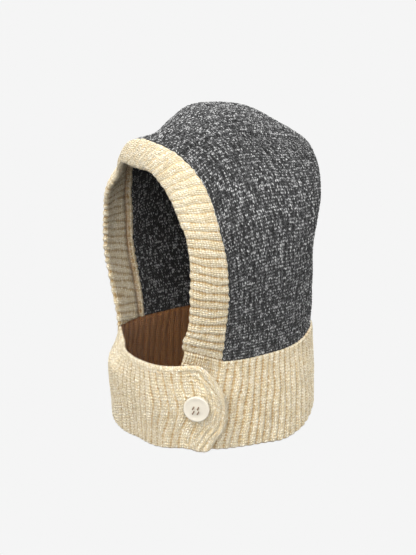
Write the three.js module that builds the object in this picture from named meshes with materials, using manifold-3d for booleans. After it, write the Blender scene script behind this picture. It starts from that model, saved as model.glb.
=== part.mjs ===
import * as THREE from "three";
import Module from "manifold-3d";

// A knitted balaclava with a grey hood, a cream ribbed band round the face, a cream ribbed
// collar, and a buttoned flap across the throat. Millimetres. The wearer faces -Y, +X is the
// wearer's left, +Z is up. The origin is the inside of the crown, where the head carries it.

const wasm = await Module();
wasm.setup();

// Driving sizes

const CROWN_HEIGHT = 304; // hem datum up to the outside of the crown
const HALF_WIDTH = 90; // middle of the head out to the side of the hood
const FRONT_REACH = 100; // head axis forward to the throat
const BACK_REACH = 110; // head axis back to the back of the hood
const RIB_PITCH = 8.3; // crest to crest of the cream ribs
const RIB_DEPTH = 1.7; // crest to groove
const HOOD_WALL = 3.4;
const TRIM_WALL = 7;
const COLLAR_WALL = 5;
const FLAP_WALL = 5;
const COLLAR_PROUD = 1.6;
const LAP_CLEARANCE = 0.6; // between the flap's tab and the collar under it
const JOIN_GAP = 0.3; // between pieces that are sewn edge to edge
const BAND_GAP = 0.6; // between the band and what it is sewn to, along curved edges
const HEAD_CENTRE_HEIGHT = 150; // the point the crown is spread from
const BUTTON_DIAMETER = 25;
const BUTTON_THICKNESS = 3.4;
const BUTTON_STANDOFF = 1.2; // the button's back above the ribs of the tab
const BUTTON_HOLE_SPACING = 4.4;
const BUTTON_HOLE_DIAMETER = 2.2;
const THREAD_DIAMETER = 1.2;
const BUTTONHOLE_LENGTH = 25;
const BUTTONHOLE_WIDTH = 3;
const BUTTON_ANGLE = 48.5; // round the neck from the front
const BUTTON_HEIGHT_SHARE = 0.11; // of the crown height

const RAD = Math.PI / 180;
const CROWN_SEAT = CROWN_HEIGHT - HOOD_WALL;

// The form the knit is stretched over, one row per level.
// height, half width, front reach, back reach as shares of their sizes, then the squareness of
// the front half and of the back half of the level's outline.
const FORM = [
  [1.0, 0.0, 0.0, 0.0, 2.1, 2.1],
  [0.985, 0.33, 0.28, 0.36, 2.1, 2.1],
  [0.95, 0.53, 0.57, 0.67, 2.2, 2.2],
  [0.91, 0.65, 0.78, 0.85, 2.4, 2.3],
  [0.85, 0.77, 0.86, 0.97, 2.7, 2.4],
  [0.76, 0.92, 0.9, 1.01, 3.1, 2.5],
  [0.66, 1.03, 0.93, 0.99, 3.4, 2.4],
  [0.527, 1.06, 0.95, 0.94, 3.5, 2.3],
  [0.394, 1.02, 0.96, 0.925, 3.2, 2.3],
  [0.244, 0.98, 0.97, 0.92, 2.6, 2.3],
  [0.132, 1.03, 1.0, 0.94, 2.4, 2.2],
  [0.0, 1.06, 0.97, 0.94, 2.3, 2.2],
  [-0.06, 1.06, 0.96, 0.93, 2.3, 2.2],
];

// The two edges of the face band, from the middle of the forehead down to the collar.
// front edge angle, front edge height, rear edge angle, rear edge height; angles in degrees
// round the head from the front, heights as shares of the crown height.
const NEAR_BAND = [
  [0, 0.838, 0, 0.919],
  [14, 0.84, 16, 0.913],
  [25.5, 0.814, 30, 0.897],
  [34, 0.77, 44, 0.853],
  [40, 0.718, 54.5, 0.78],
  [45.2, 0.648, 59.8, 0.69],
  [47.2, 0.555, 64.2, 0.565],
  [47, 0.46, 65.1, 0.46],
  [45.5, 0.37, 64.2, 0.36],
  [40.5, 0.292, 62.5, 0.249],
];
const FAR_BAND = [
  [0, 0.838, 0, 0.919],
  [14, 0.838, 16, 0.908],
  [25.5, 0.806, 30, 0.885],
  [34, 0.76, 43, 0.84],
  [40, 0.712, 53, 0.775],
  [45.2, 0.648, 60, 0.69],
  [47.2, 0.555, 65, 0.565],
  [47.5, 0.46, 67.5, 0.46],
  [48, 0.35, 70.5, 0.35],
  [48, 0.229, 72, 0.229],
];

// The seam of hood and collar and the hem, all the way round the neck.
// angle from the front by the near side and the back, height of the seam, height of the hem.
const NECK = [
  [30, 0.302, -0.036],
  [40.5, 0.292, -0.037],
  [50.7, 0.276, -0.039],
  [57.5, 0.262, -0.04],
  [62.5, 0.251, -0.041],
  [72, 0.246, -0.042],
  [86, 0.245, -0.046],
  [106, 0.245, -0.053],
  [120, 0.247, -0.044],
  [129, 0.253, -0.03],
  [140, 0.261, -0.012],
  [180, 0.266, 0.002],
  [220, 0.254, -0.004],
  [250, 0.232, -0.026],
  [275, 0.228, -0.044],
  [288, 0.228, -0.048],
  [312, 0.228, -0.05],
  [325, 0.228, -0.05],
];

// Soft dents of the hood: angle round the head, height share, depth, spread.
const DENTS = [
  [-38, 0.9, 5, 34],
  [118, 0.44, 1.6, 26],
  [86, 0.62, -1.4, 30],
  [150, 0.55, 1.8, 24],
  [-110, 0.5, 1.5, 26],
  [-150, 0.6, -1.2, 26],
  [70, 0.31, 1.4, 18],
];

function smooth(x) {
  const t = Math.min(1, Math.max(0, x));
  return t * t * (3 - 2 * t);
}

function mix(a, b, t) {
  return a + (b - a) * t;
}

// A smooth curve through a table's rows: column k as a function of column 0 rising or falling.
function throughRows(xs, ys) {
  const n = xs.length;
  const slope = [];
  for (let i = 0; i < n - 1; i++) {
    slope.push((ys[i + 1] - ys[i]) / (xs[i + 1] - xs[i]));
  }
  const tangent = [slope[0]];
  for (let i = 1; i < n - 1; i++) {
    const same = slope[i - 1] * slope[i] > 0;
    const harmonic = (2 * slope[i - 1] * slope[i]) / (slope[i - 1] + slope[i]);
    tangent.push(same ? harmonic : 0);
  }
  tangent.push(slope[n - 2]);
  return (x) => {
    const c = Math.min(xs[n - 1], Math.max(xs[0], x));
    let i = 0;
    while (i < n - 2 && c > xs[i + 1]) {
      i++;
    }
    const h = xs[i + 1] - xs[i];
    const t = (c - xs[i]) / h;
    const a = ys[i] * (1 + 2 * t) * (1 - t) * (1 - t);
    const b = tangent[i] * h * t * (1 - t) * (1 - t);
    const d = ys[i + 1] * t * t * (3 - 2 * t);
    const e = tangent[i + 1] * h * t * t * (t - 1);
    return a + b + d + e;
  };
}

// Levels crowd toward the crown, so the outline closes there like a dome.
function levelKey(share) {
  return Math.sqrt(Math.max(0, 1 - share));
}

const formKeys = FORM.map((row) => levelKey(row[0]));
const halfWidthOf = throughRows(formKeys, FORM.map((row) => row[1] * HALF_WIDTH));
const frontOf = throughRows(formKeys, FORM.map((row) => row[2] * FRONT_REACH));
const backOf = throughRows(formKeys, FORM.map((row) => row[3] * BACK_REACH));
const frontSquareOf = throughRows(formKeys, FORM.map((row) => row[4]));
const backSquareOf = throughRows(formKeys, FORM.map((row) => row[5]));

function radiusAt(angle, z) {
  const key = levelKey(z / CROWN_HEIGHT);
  const s = Math.abs(Math.sin(angle * RAD));
  const c = Math.cos(angle * RAD);
  const reach = c > 0 ? frontOf(key) : backOf(key);
  const n = c > 0 ? frontSquareOf(key) : backSquareOf(key);
  const sum = (s / halfWidthOf(key)) ** n + (Math.abs(c) / reach) ** n;
  return sum ** (-1 / n);
}

function bareForm(angle, z) {
  const r = radiusAt(angle, z);
  return new THREE.Vector3(r * Math.sin(angle * RAD), -r * Math.cos(angle * RAD), z);
}

// Positive outside the form, negative inside.
function outsideness(p) {
  if (p.z >= CROWN_HEIGHT) {
    return 1;
  }
  const angle = Math.atan2(p.x, -p.y) / RAD;
  return Math.hypot(p.x, p.y) / radiusAt(angle, p.z) - 1;
}

function normalOf(p) {
  const step = 0.8;
  const g = new THREE.Vector3();
  for (const axis of ["x", "y", "z"]) {
    const up = p.clone();
    const down = p.clone();
    up[axis] += step;
    down[axis] -= step;
    g[axis] = outsideness(up) - outsideness(down);
  }
  return g.normalize();
}

function dentAt(p) {
  let sum = 0;
  for (const [angle, share, depth, spread] of DENTS) {
    const d = bareForm(angle, share * CROWN_HEIGHT).distanceTo(p) / spread;
    sum -= depth * Math.exp(-d * d);
  }
  return sum;
}

// A point of the form at an angle round the head and a level, moved out by an offset.
function formPoint(angle, z, offset = 0) {
  const p = bareForm(angle, z);
  const n = normalOf(p);
  return p.addScaledVector(n, offset + dentAt(p));
}

const neckAngles = NECK.map((row) => row[0]);
const seamTable = throughRows(neckAngles, NECK.map((row) => row[1] * CROWN_HEIGHT));
const hemTable = throughRows(neckAngles, NECK.map((row) => row[2] * CROWN_HEIGHT));

function seamHeight(angle) {
  return seamTable(angle < 0 ? angle + 360 : angle);
}

function hemHeight(angle) {
  return hemTable(angle < 0 ? angle + 360 : angle);
}

const centre = new THREE.Vector3(0, 0, HEAD_CENTRE_HEIGHT);

// Where a ray from the middle of the head meets the form.
function formAlong(direction) {
  let low = 10;
  let high = 400;
  for (let i = 0; i < 44; i++) {
    const middle = (low + high) / 2;
    const p = centre.clone().addScaledVector(direction, middle);
    if (outsideness(p) > 0) {
      high = middle;
    } else {
      low = middle;
    }
  }
  return centre.clone().addScaledVector(direction, low);
}

// Solids

// Collects triangles, welds their corners and drops those that collapse.
class Surface {
  constructor() {
    this.points = [];
    this.faces = [];
    this.known = new Map();
  }

  corner(p) {
    const key = [p.x, p.y, p.z].map((v) => Math.round(v * 2000)).join();
    if (!this.known.has(key)) {
      this.known.set(key, this.points.length);
      this.points.push(p.clone());
    }
    return this.known.get(key);
  }

  triangle(a, b, c) {
    const [i, j, k] = [a, b, c].map((p) => this.corner(p));
    if (i !== j && j !== k && k !== i) {
      this.faces.push([i, j, k]);
    }
  }

  quad(a, b, c, d) {
    this.triangle(a, b, c);
    this.triangle(a, c, d);
  }

  volume() {
    let sum = 0;
    for (const [i, j, k] of this.faces) {
      const cross = this.points[j].clone().cross(this.points[k]);
      sum += this.points[i].dot(cross) / 6;
    }
    return sum;
  }

  geometry() {
    const flip = this.volume() < 0;
    const seat = new THREE.Vector3(0, 0, CROWN_SEAT);
    const position = this.points.flatMap((p) => p.clone().sub(seat).toArray());
    const index = this.faces.flatMap(([i, j, k]) => (flip ? [i, k, j] : [i, j, k]));
    const made = new THREE.BufferGeometry();
    made.setAttribute("position", new THREE.Float32BufferAttribute(position, 3));
    made.setIndex(index);
    return made;
  }
}

// A shell between an outer and an inner grid of points, closed along its four borders.
function shellSurface(outer, inner) {
  const made = new Surface();
  const rows = outer.length;
  const columns = outer[0].length;
  for (let i = 0; i < rows - 1; i++) {
    for (let j = 0; j < columns - 1; j++) {
      made.quad(outer[i][j], outer[i + 1][j], outer[i + 1][j + 1], outer[i][j + 1]);
      made.quad(inner[i][j], inner[i][j + 1], inner[i + 1][j + 1], inner[i + 1][j]);
    }
    made.quad(outer[i][0], inner[i][0], inner[i + 1][0], outer[i + 1][0]);
    const last = columns - 1;
    made.quad(outer[i][last], outer[i + 1][last], inner[i + 1][last], inner[i][last]);
  }
  for (let j = 0; j < columns - 1; j++) {
    made.quad(outer[0][j], outer[0][j + 1], inner[0][j + 1], inner[0][j]);
    const last = rows - 1;
    made.quad(outer[last][j], inner[last][j], inner[last][j + 1], outer[last][j + 1]);
  }
  return made;
}

// A strip whose cross-sections each have an outer chain, an inner chain and a rounded nose at
// both ends of the chains.
function stripSurface(sections) {
  const made = new Surface();
  const ring = (s) => [s.noseA, ...s.outer, s.noseB, ...s.inner.slice().reverse()];
  for (let i = 0; i < sections.length - 1; i++) {
    const a = ring(sections[i]);
    const b = ring(sections[i + 1]);
    for (let j = 0; j < a.length; j++) {
      const k = (j + 1) % a.length;
      made.quad(a[j], b[j], b[k], a[k]);
    }
  }
  const cap = (s, turned) => {
    const face = (...p) => made.triangle(...(turned ? p.reverse() : p));
    const last = s.outer.length - 1;
    face(s.noseA, s.outer[0], s.inner[0]);
    face(s.noseB, s.inner[last], s.outer[last]);
    for (let j = 0; j < last; j++) {
      face(s.outer[j], s.outer[j + 1], s.inner[j + 1]);
      face(s.outer[j], s.inner[j + 1], s.inner[j]);
    }
  };
  cap(sections[0], false);
  cap(sections[sections.length - 1], true);
  return made;
}

// Face band

function bandEdges(table) {
  const rows = table.map((row, i) => i / (table.length - 1));
  const [frontAngle, frontShare, rearAngle, rearShare] = [0, 1, 2, 3].map((k) =>
    throughRows(rows, table.map((row) => row[k])),
  );
  return (t, across) => ({
    angle: mix(frontAngle(t), rearAngle(t), across),
    z: mix(frontShare(t), rearShare(t), across) * CROWN_HEIGHT,
  });
}

const nearEdges = bandEdges(NEAR_BAND);
const farEdges = bandEdges(FAR_BAND);

// The band's place at a run from -1 (far end) over the forehead to 1 (near end), and a share
// across it from the front edge to the rear edge.
function bandPlace(run, across) {
  const side = run < 0 ? farEdges : nearEdges;
  const sign = Math.sign(run || 1);
  const place = side(Math.abs(run), across);
  const end = side(1, across);
  const follow = Math.max(0, (Math.abs(run) - 0.88) / 0.12);
  const lift = seamHeight(sign * end.angle) + BAND_GAP - end.z;
  return { angle: sign * place.angle, z: place.z + follow * lift };
}

// Runs spaced evenly by true length along the middle of the band.
function evenRuns(count) {
  const fine = 600;
  const lengths = [0];
  let before = null;
  for (let i = 0; i <= fine; i++) {
    const place = bandPlace(mix(-1, 1, i / fine), 0.5);
    const p = bareForm(place.angle, place.z);
    if (before) {
      lengths.push(lengths[lengths.length - 1] + p.distanceTo(before));
    }
    before = p;
  }
  const total = lengths[fine];
  const runs = [];
  for (let i = 0; i < count; i++) {
    const goal = (total * i) / (count - 1);
    let k = 0;
    while (k < fine - 1 && lengths[k + 1] < goal) {
      k++;
    }
    const share = (goal - lengths[k]) / (lengths[k + 1] - lengths[k]);
    runs.push(mix(-1, 1, (k + Math.min(1, share)) / fine));
  }
  return { runs, total };
}

const bandLength = evenRuns(2).total;
const bandRibs = Math.round(bandLength / RIB_PITCH);

// share across, share of the wall outward, share of the wall inward, both from the surface
const BAND_SECTION = [
  [0.04, 0.2, -0.48],
  [0.28, 0.39, -0.62],
  [0.72, 0.39, -0.61],
  [0.995, 0.23, -0.52],
];

function faceTrim() {
  const sections = evenRuns(bandRibs * 2 + 1).runs.map((run, i) => {
    const rib = (i % 2 ? 0.5 : -0.5) * RIB_DEPTH;
    const at = (across, offset) => {
      const place = bandPlace(run, across);
      return formPoint(place.angle, place.z, offset);
    };
    const fade = (across) => (across > 0.9 ? 0.3 : 1);
    return {
      noseA: at(-0.075, -1 + rib * 0.4),
      outer: BAND_SECTION.map(([w, out]) => at(w, out * TRIM_WALL + rib * fade(w))),
      noseB: at(0.999, -1),
      inner: BAND_SECTION.map(([w, , inn]) => at(w, inn * TRIM_WALL - rib * 0.4 * fade(w))),
    };
  });
  return stripSurface(sections).geometry();
}

// Hood

const HOOD_RUNS = 52;
const HOOD_STEPS = 16;

function turnTo(a, b, t) {
  const whole = Math.acos(Math.min(1, Math.max(-1, a.dot(b))));
  if (whole < 1e-6) {
    return a.clone();
  }
  const k = Math.sin(whole);
  return a
    .clone()
    .multiplyScalar(Math.sin((1 - t) * whole) / k)
    .addScaledVector(b, Math.sin(t * whole) / k);
}

function hoodShell() {
  const toward = (p) => p.clone().sub(centre).normalize();
  const seamForm = (angle) => bareForm(angle, seamHeight(angle) + BAND_GAP / 2);
  const rear = (run) => {
    const place = bandPlace(run, 1);
    const p = bareForm(place.angle, place.z);
    const inward = bandPlace(run, 0.9);
    const q = bareForm(inward.angle, inward.z);
    return p.clone().addScaledVector(p.clone().sub(q).normalize(), BAND_GAP);
  };
  const back = toward(seamForm(180));
  const seamPoint = (side, step) => {
    const first = bandPlace(side, 1);
    const gapAngle = (BAND_GAP / radiusAt(first.angle, first.z)) / RAD;
    const start = Math.abs(first.angle) + gapAngle;
    return seamForm(side * mix(start, 180, step));
  };
  const { runs } = evenRuns(HOOD_RUNS + 1);
  const outer = [];
  const inner = [];
  runs.forEach((run, i) => {
    const side = run < 0 ? -1 : 1;
    const edge = i === 0 || i === HOOD_RUNS;
    const pull = Math.abs(run) ** 1.6;
    const outRow = [];
    const inRow = [];
    for (let j = 0; j <= HOOD_STEPS; j++) {
      const step = j / HOOD_STEPS;
      let p;
      if (edge) {
        p = seamPoint(side, step);
      } else {
        const direction = turnTo(toward(rear(run)), back, step);
        const along = turnTo(toward(seamPoint(side, 0)), back, step);
        direction.addScaledVector(toward(seamPoint(side, step)).sub(along), pull);
        p = formAlong(direction.normalize());
      }
      const level = p.z;
      const n = normalOf(p);
      const d = dentAt(p);
      const q = p.clone().addScaledVector(n, d - HOOD_WALL);
      p.addScaledVector(n, d);
      if (edge) {
        p.z = level;
        q.z = level;
      }
      outRow.push(p);
      inRow.push(q);
    }
    outer.push(outRow);
    inner.push(inRow);
  });
  return shellSurface(outer, inner).geometry();
}

// Collar

const COLLAR_START = 37; // front end of the underlap, degrees from the front on the near side
const COLLAR_END = 311; // where the flap takes over on the far side, going round the back

function collarSection(angle, bottom, top, out, inn, rib, lean) {
  const at = (share, offset) => {
    const z = mix(bottom, top, share);
    return formPoint(angle + lean * (share - 0.5), z, offset);
  };
  const rows = [0.04, 0.32, 0.68, 0.97];
  const round = [1.1, 0, 0, 0.9];
  return {
    noseA: at(-0.012, (out + inn) / 2),
    outer: rows.map((share, k) => at(share, out + rib - round[k])),
    noseB: at(1, (out + inn) / 2),
    inner: rows.map((share, k) => at(share, inn - rib * 0.4 + round[k] * 0.6)),
  };
}

function neckCollar() {
  const length = ((COLLAR_END - COLLAR_START) * RAD) * 98;
  const count = Math.round(length / RIB_PITCH) * 2;
  const inn = COLLAR_PROUD - COLLAR_WALL;
  const sections = [];
  for (let i = 0; i <= count; i++) {
    const angle = mix(COLLAR_START, COLLAR_END, i / count);
    const rib = (i % 2 ? 0.5 : -0.5) * RIB_DEPTH;
    const lean = 5 * (1 - smooth((angle - 70) / 60)) * smooth((angle - COLLAR_START) / 12);
    const top = seamHeight(angle + lean / 2) - JOIN_GAP / 2;
    const bottom = hemHeight(angle - lean / 2);
    sections.push(collarSection(angle, bottom, top, COLLAR_PROUD, inn, rib, lean));
  }
  return stripSurface(sections).geometry();
}

// Flap

const FLAP_START = COLLAR_END - 360 + JOIN_GAP / 1.6;
const FLAP_RIBS = 24;

// Outline of the flap: angle from the front, height of its top, height of its bottom, how far
// it leans in at the top. Heights are shares of the crown height; the lean is in millimetres.
const FLAP = [
  [-49, 0.228, -0.05, 2],
  [-40, 0.221, -0.056, 9],
  [-30, 0.211, -0.06, 13],
  [-15, 0.214, -0.062, 9],
  [-2, 0.222, -0.058, 3],
  [8, 0.226, -0.05, 0],
  [23, 0.235, -0.043, 0],
  [33, 0.242, -0.036, 0],
  [42, 0.249, -0.03, 0],
  [49, 0.25, -0.039, 0],
  [53, 0.238, -0.038, 0],
  [57, 0.203, -0.018, 0],
  [61.5, 0.154, 0.029, 0],
  [65.2, 0.114, 0.053, 0],
];
const flapAngles = FLAP.map((row) => row[0]);
const flapTop = throughRows(flapAngles, FLAP.map((row) => row[1] * CROWN_HEIGHT));
const flapBottom = throughRows(flapAngles, FLAP.map((row) => row[2] * CROWN_HEIGHT));
const flapLean = throughRows(flapAngles, FLAP.map((row) => row[3]));

// Offset of the flap's middle from the form: level with the collar on the far side, out over
// the underlap on the near side.
function flapOffset(angle) {
  const flush = COLLAR_PROUD - FLAP_WALL / 2;
  const ribs = RIB_DEPTH * 0.5 + RIB_DEPTH * 0.2;
  const lapped = COLLAR_PROUD + ribs + LAP_CLEARANCE + FLAP_WALL / 2;
  return mix(flush, lapped, smooth((angle - 5) / 27));
}

function flapSections() {
  const first = Math.max(FLAP_START, flapAngles[0]);
  const last = flapAngles[flapAngles.length - 1];
  const count = FLAP_RIBS * 2 + 2;
  const sections = [];
  for (let i = 0; i <= count; i++) {
    const angle = mix(first, last, i / count);
    const rib = (i % 2 ? 0.5 : -0.5) * RIB_DEPTH * (angle > 55 ? 0.3 : 1);
    const middle = flapOffset(angle);
    const top = flapTop(angle) - JOIN_GAP;
    const bottom = flapBottom(angle);
    const lean = flapLean(angle);
    const at = (share, offset) => {
      const inward = lean * smooth((share - 0.72) / 0.3);
      return formPoint(angle, mix(bottom, top, share), middle + offset - inward);
    };
    const rows = [0.03, 0.25, 0.52, 0.78, 0.9, 0.97];
    const round = [1.2, 0, 0, -0.2, 0.1, 1.1];
    const half = FLAP_WALL / 2;
    const fade = [1, 1, 1, 0.9, 0.2, 0];
    sections.push({
      noseA: at(-0.012, 0),
      outer: rows.map((share, k) => at(share, half + rib * fade[k] - round[k])),
      noseB: at(1, 0),
      inner: rows.map((share, k) => at(share, -half - rib * 0.4 * fade[k] + round[k] * 0.6)),
    });
  }
  return sections;
}

function toManifold(geometry) {
  const mesh = new wasm.Mesh({
    numProp: 3,
    vertProperties: new Float32Array(geometry.attributes.position.array),
    triVerts: new Uint32Array(geometry.index.array),
  });
  return new wasm.Manifold(mesh);
}

function fromManifold(solid) {
  const mesh = solid.getMesh();
  const made = new THREE.BufferGeometry();
  const flat = [];
  for (let i = 0; i < mesh.numVert; i++) {
    flat.push(...mesh.vertProperties.subarray(i * mesh.numProp, i * mesh.numProp + 3));
  }
  made.setAttribute("position", new THREE.Float32BufferAttribute(flat, 3));
  made.setIndex([...mesh.triVerts]);
  return made;
}

// The button's place: its axis points out of the tab, its hole pattern stands upright.
const buttonLevel = BUTTON_HEIGHT_SHARE * CROWN_HEIGHT;
const tabOffset = flapOffset(BUTTON_ANGLE) + FLAP_WALL / 2;
const buttonAxis = normalOf(bareForm(BUTTON_ANGLE, buttonLevel));
const buttonSeat = bareForm(BUTTON_ANGLE, buttonLevel)
  .addScaledVector(buttonAxis, tabOffset + RIB_DEPTH / 2 + BUTTON_STANDOFF)
  .sub(new THREE.Vector3(0, 0, CROWN_SEAT));

// Moves a piece drawn on the plane z = 0, facing +Z with +Y upright, onto the button's place.
function placeOnTab(solid) {
  const upright = new THREE.Vector3(0, 0, 1).addScaledVector(buttonAxis, -buttonAxis.z);
  upright.normalize();
  const across = upright.clone().cross(buttonAxis);
  const m = new THREE.Matrix4().makeBasis(across, upright, buttonAxis);
  m.setPosition(buttonSeat);
  return solid.transform(m.elements);
}

function frontFlap() {
  const plain = toManifold(stripSurface(flapSections()).geometry());
  const slit = wasm.Manifold.cube([BUTTONHOLE_LENGTH, BUTTONHOLE_WIDTH, 40], true);
  return fromManifold(plain.subtract(placeOnTab(slit)));
}

// Button

// radius share, height share of the face profile, from the middle out
const BUTTON_FACE = [
  [0.0, 0.72],
  [0.5, 0.74],
  [0.68, 0.84],
  [0.8, 1.0],
  [0.9, 0.97],
  [0.98, 0.72],
  [1.0, 0.45],
  [0.95, 0.12],
  [0.8, 0.0],
];

const HOLE_CORNERS = [-1, 1].flatMap((x) => [-1, 1].map((y) => [x, y]));

function holeSpot([x, y]) {
  return [(x * BUTTON_HOLE_SPACING) / 2, (y * BUTTON_HOLE_SPACING) / 2];
}

function button() {
  const rim = BUTTON_FACE.map(([r, h]) => [
    (r * BUTTON_DIAMETER) / 2,
    h * BUTTON_THICKNESS,
  ]);
  const profile = [[0, 0], ...rim.slice().reverse()];
  let solid = wasm.Manifold.revolve(new wasm.CrossSection([profile]), 32);
  for (const corner of HOLE_CORNERS) {
    const tool = wasm.Manifold.cylinder(
      BUTTON_THICKNESS * 3,
      BUTTON_HOLE_DIAMETER / 2,
      BUTTON_HOLE_DIAMETER / 2,
      10,
      true,
    );
    solid = solid.subtract(tool.translate([...holeSpot(corner), 0]));
  }
  return fromManifold(placeOnTab(solid));
}

// Thread: a wound shank through the buttonhole, four strands up through the button's holes,
// and two short stitches across the button's face.
function buttonThread() {
  const shankRadius = BUTTONHOLE_WIDTH / 2 - JOIN_GAP;
  const depth = FLAP_WALL + RIB_DEPTH + LAP_CLEARANCE + BUTTON_STANDOFF - JOIN_GAP * 2;
  const faceLevel = 0.74 * BUTTON_THICKNESS + JOIN_GAP;
  const r = THREAD_DIAMETER / 2;
  const shankTop = -JOIN_GAP;
  const shank = wasm.Manifold.cylinder(depth, shankRadius, shankRadius, 14);
  const parts = [shank.translate([0, 0, shankTop - depth])];
  const reach = BUTTON_HOLE_SPACING / 2;
  const padThickness = BUTTON_STANDOFF - JOIN_GAP * 2;
  const pad = wasm.Manifold.cylinder(padThickness, reach * 1.7, reach * 1.7, 14);
  parts.push(pad.translate([0, 0, shankTop - padThickness]));
  for (const corner of HOLE_CORNERS) {
    const [x, y] = holeSpot(corner);
    const height = faceLevel + r - shankTop + padThickness / 2;
    const strand = wasm.Manifold.cylinder(height, r, r, 8);
    parts.push(strand.translate([x, y, shankTop - padThickness / 2]));
  }
  for (const side of [-1, 1]) {
    const stitch = wasm.Manifold.cylinder(BUTTON_HOLE_SPACING, r, r, 8);
    const [x, y] = holeSpot([side, 1]);
    parts.push(stitch.rotate([90, 0, 0]).translate([x, y, faceLevel + r]));
  }
  return fromManifold(placeOnTab(wasm.Manifold.union(parts)));
}

// Assembly

const COLOURS = {
  grey_marl_knit: 0x5d5f63,
  cream_rib_knit: 0xe4d8b8,
  white_button: 0xece9e4,
  cream_thread: 0xe9dfc8,
};

function piece(name, colour, geometry) {
  geometry.computeVertexNormals();
  const made = new THREE.Mesh(
    geometry,
    new THREE.MeshStandardMaterial({ color: COLOURS[colour], roughness: 0.9 }),
  );
  made.name = name;
  return made;
}

const balaclava = new THREE.Group();
balaclava.name = "knit_balaclava";
balaclava.add(
  piece("hood_shell", "grey_marl_knit", hoodShell()),
  piece("face_trim", "cream_rib_knit", faceTrim()),
  piece("neck_collar", "cream_rib_knit", neckCollar()),
  piece("front_flap", "cream_rib_knit", frontFlap()),
  piece("button", "white_button", button()),
  piece("button_thread", "cream_thread", buttonThread()),
);

export default balaclava;
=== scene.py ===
"""Looks of a knitted balaclava: a grey marl hood, a cream ribbed face band, a cream ribbed
collar and a flap that buttons over it at the side of the throat.

Lengths in the shape classes are in millimetres from the hem; the finished meshes are in
metres, with the origin inside the crown. The wearer faces -Y and +X is the wearer's left."""

import logging
import math
from collections.abc import Callable
from dataclasses import dataclass, field
from enum import Enum

import bpy
import numpy as np
from mathutils import Matrix, Vector

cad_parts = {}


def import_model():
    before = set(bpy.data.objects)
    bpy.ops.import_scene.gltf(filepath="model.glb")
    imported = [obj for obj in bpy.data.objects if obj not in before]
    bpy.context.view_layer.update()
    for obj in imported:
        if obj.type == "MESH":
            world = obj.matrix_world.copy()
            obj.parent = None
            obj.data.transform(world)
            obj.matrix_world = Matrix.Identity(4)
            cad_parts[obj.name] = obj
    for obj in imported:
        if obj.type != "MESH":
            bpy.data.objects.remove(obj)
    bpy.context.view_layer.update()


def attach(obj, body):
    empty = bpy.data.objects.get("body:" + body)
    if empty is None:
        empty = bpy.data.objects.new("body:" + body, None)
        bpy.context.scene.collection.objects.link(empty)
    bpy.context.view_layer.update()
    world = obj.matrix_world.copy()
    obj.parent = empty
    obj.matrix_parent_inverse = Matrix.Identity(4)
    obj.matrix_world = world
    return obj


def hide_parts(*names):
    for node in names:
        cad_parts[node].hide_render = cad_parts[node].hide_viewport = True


LOG = logging.getLogger("balaclava")

Array = np.ndarray
Curve = Callable[[Array], Array]

CROWN_HEIGHT = 304.0
HOOD_WALL = 3.4
CROWN_SEAT = CROWN_HEIGHT - HOOD_WALL
HEAD_CENTRE_HEIGHT = 150.0
RIB_PITCH = 8.3
RIB_DEPTH = 1.7
NECK_RADIUS = 98.0
LEG_SLOPE = 0.62  # how far the legs of a V stitch rise, in courses
HEM_SHADE_REACH = 1.6  # how far up from a hem its painted shade reaches


class Side(Enum):
    """The two sides of the head, by the sign of X."""

    NEAR = 1
    FAR = -1


def smooth(x: Array) -> Array:
    """Eases a share from 0 to 1, held outside that range."""
    t = np.clip(x, 0.0, 1.0)
    return t * t * (3.0 - 2.0 * t)


def mix(a: Array, b: Array, t: Array) -> Array:
    """Goes from a to b as t goes from 0 to 1."""
    return a + (b - a) * t


def share_of(x: Array) -> Array:
    """The part of a number after its whole part."""
    return x - np.floor(x)


def through_rows(xs: Array, ys: Array) -> Curve:
    """Makes a smooth curve that never overshoots the rows of a table.

    Args:
        xs: The first column, rising.
        ys: The column to read.

    Returns:
        A function from values of the first column to values of the other.
    """
    xs = np.asarray(xs, float)
    ys = np.asarray(ys, float)
    step = np.diff(xs)
    slope = np.diff(ys) / step
    tangent = np.empty_like(xs)
    tangent[0], tangent[-1] = slope[0], slope[-1]
    product = slope[:-1] * slope[1:]
    total = np.where(slope[:-1] + slope[1:] == 0, 1.0, slope[:-1] + slope[1:])
    tangent[1:-1] = np.where(product > 0, 2 * product / total, 0.0)

    def read(x: Array) -> Array:
        """Reads the curve at x, held at the table's ends."""
        c = np.clip(np.asarray(x, float), xs[0], xs[-1])
        i = np.clip(np.searchsorted(xs, c) - 1, 0, len(step) - 1)
        h = step[i]
        t = (c - xs[i]) / h
        rise = ys[i] * (1 + 2 * t) * (1 - t) ** 2 + ys[i + 1] * t * t * (3 - 2 * t)
        return rise + tangent[i] * h * t * (1 - t) ** 2 + tangent[i + 1] * h * t * t * (t - 1)

    return read


def softened(curve: Curve, spread: float) -> Curve:
    """Rounds the corners of a curve by averaging it over a spread to either side."""
    taps = np.linspace(-1, 1, 9)
    weights = np.cos(taps * math.pi / 2.2) ** 2
    weights = weights / weights.sum()

    def read(x: Array) -> Array:
        """Reads the rounded curve."""
        at = np.asarray(x, float)
        return sum(w * curve(at + t * spread) for t, w in zip(taps, weights))

    return read


def unit(v: Array) -> Array:
    """Scales vectors to length one."""
    return v / np.maximum(np.linalg.norm(v, axis=-1, keepdims=True), 1e-9)


def curves_of(table: tuple, *scales: float) -> list[Curve]:
    """Makes a curve of each further column of a table, read by its first column.

    Args:
        table: Rows of numbers.
        scales: What each further column is multiplied by, or none for all of them as they are.

    Returns:
        The curves, in the order of the columns.
    """
    rows = np.array(table, float)
    sizes = scales or (1.0,) * (rows.shape[1] - 1)
    return [through_rows(rows[:, 0], rows[:, k + 1] * size) for k, size in enumerate(sizes)]


def length_along(points: Array) -> Array:
    """Lengths run along a line of points, from 0 at the first one."""
    step = np.linalg.norm(np.diff(points, axis=0), axis=1)
    return np.concatenate([[0.0], np.cumsum(step)])


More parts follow.
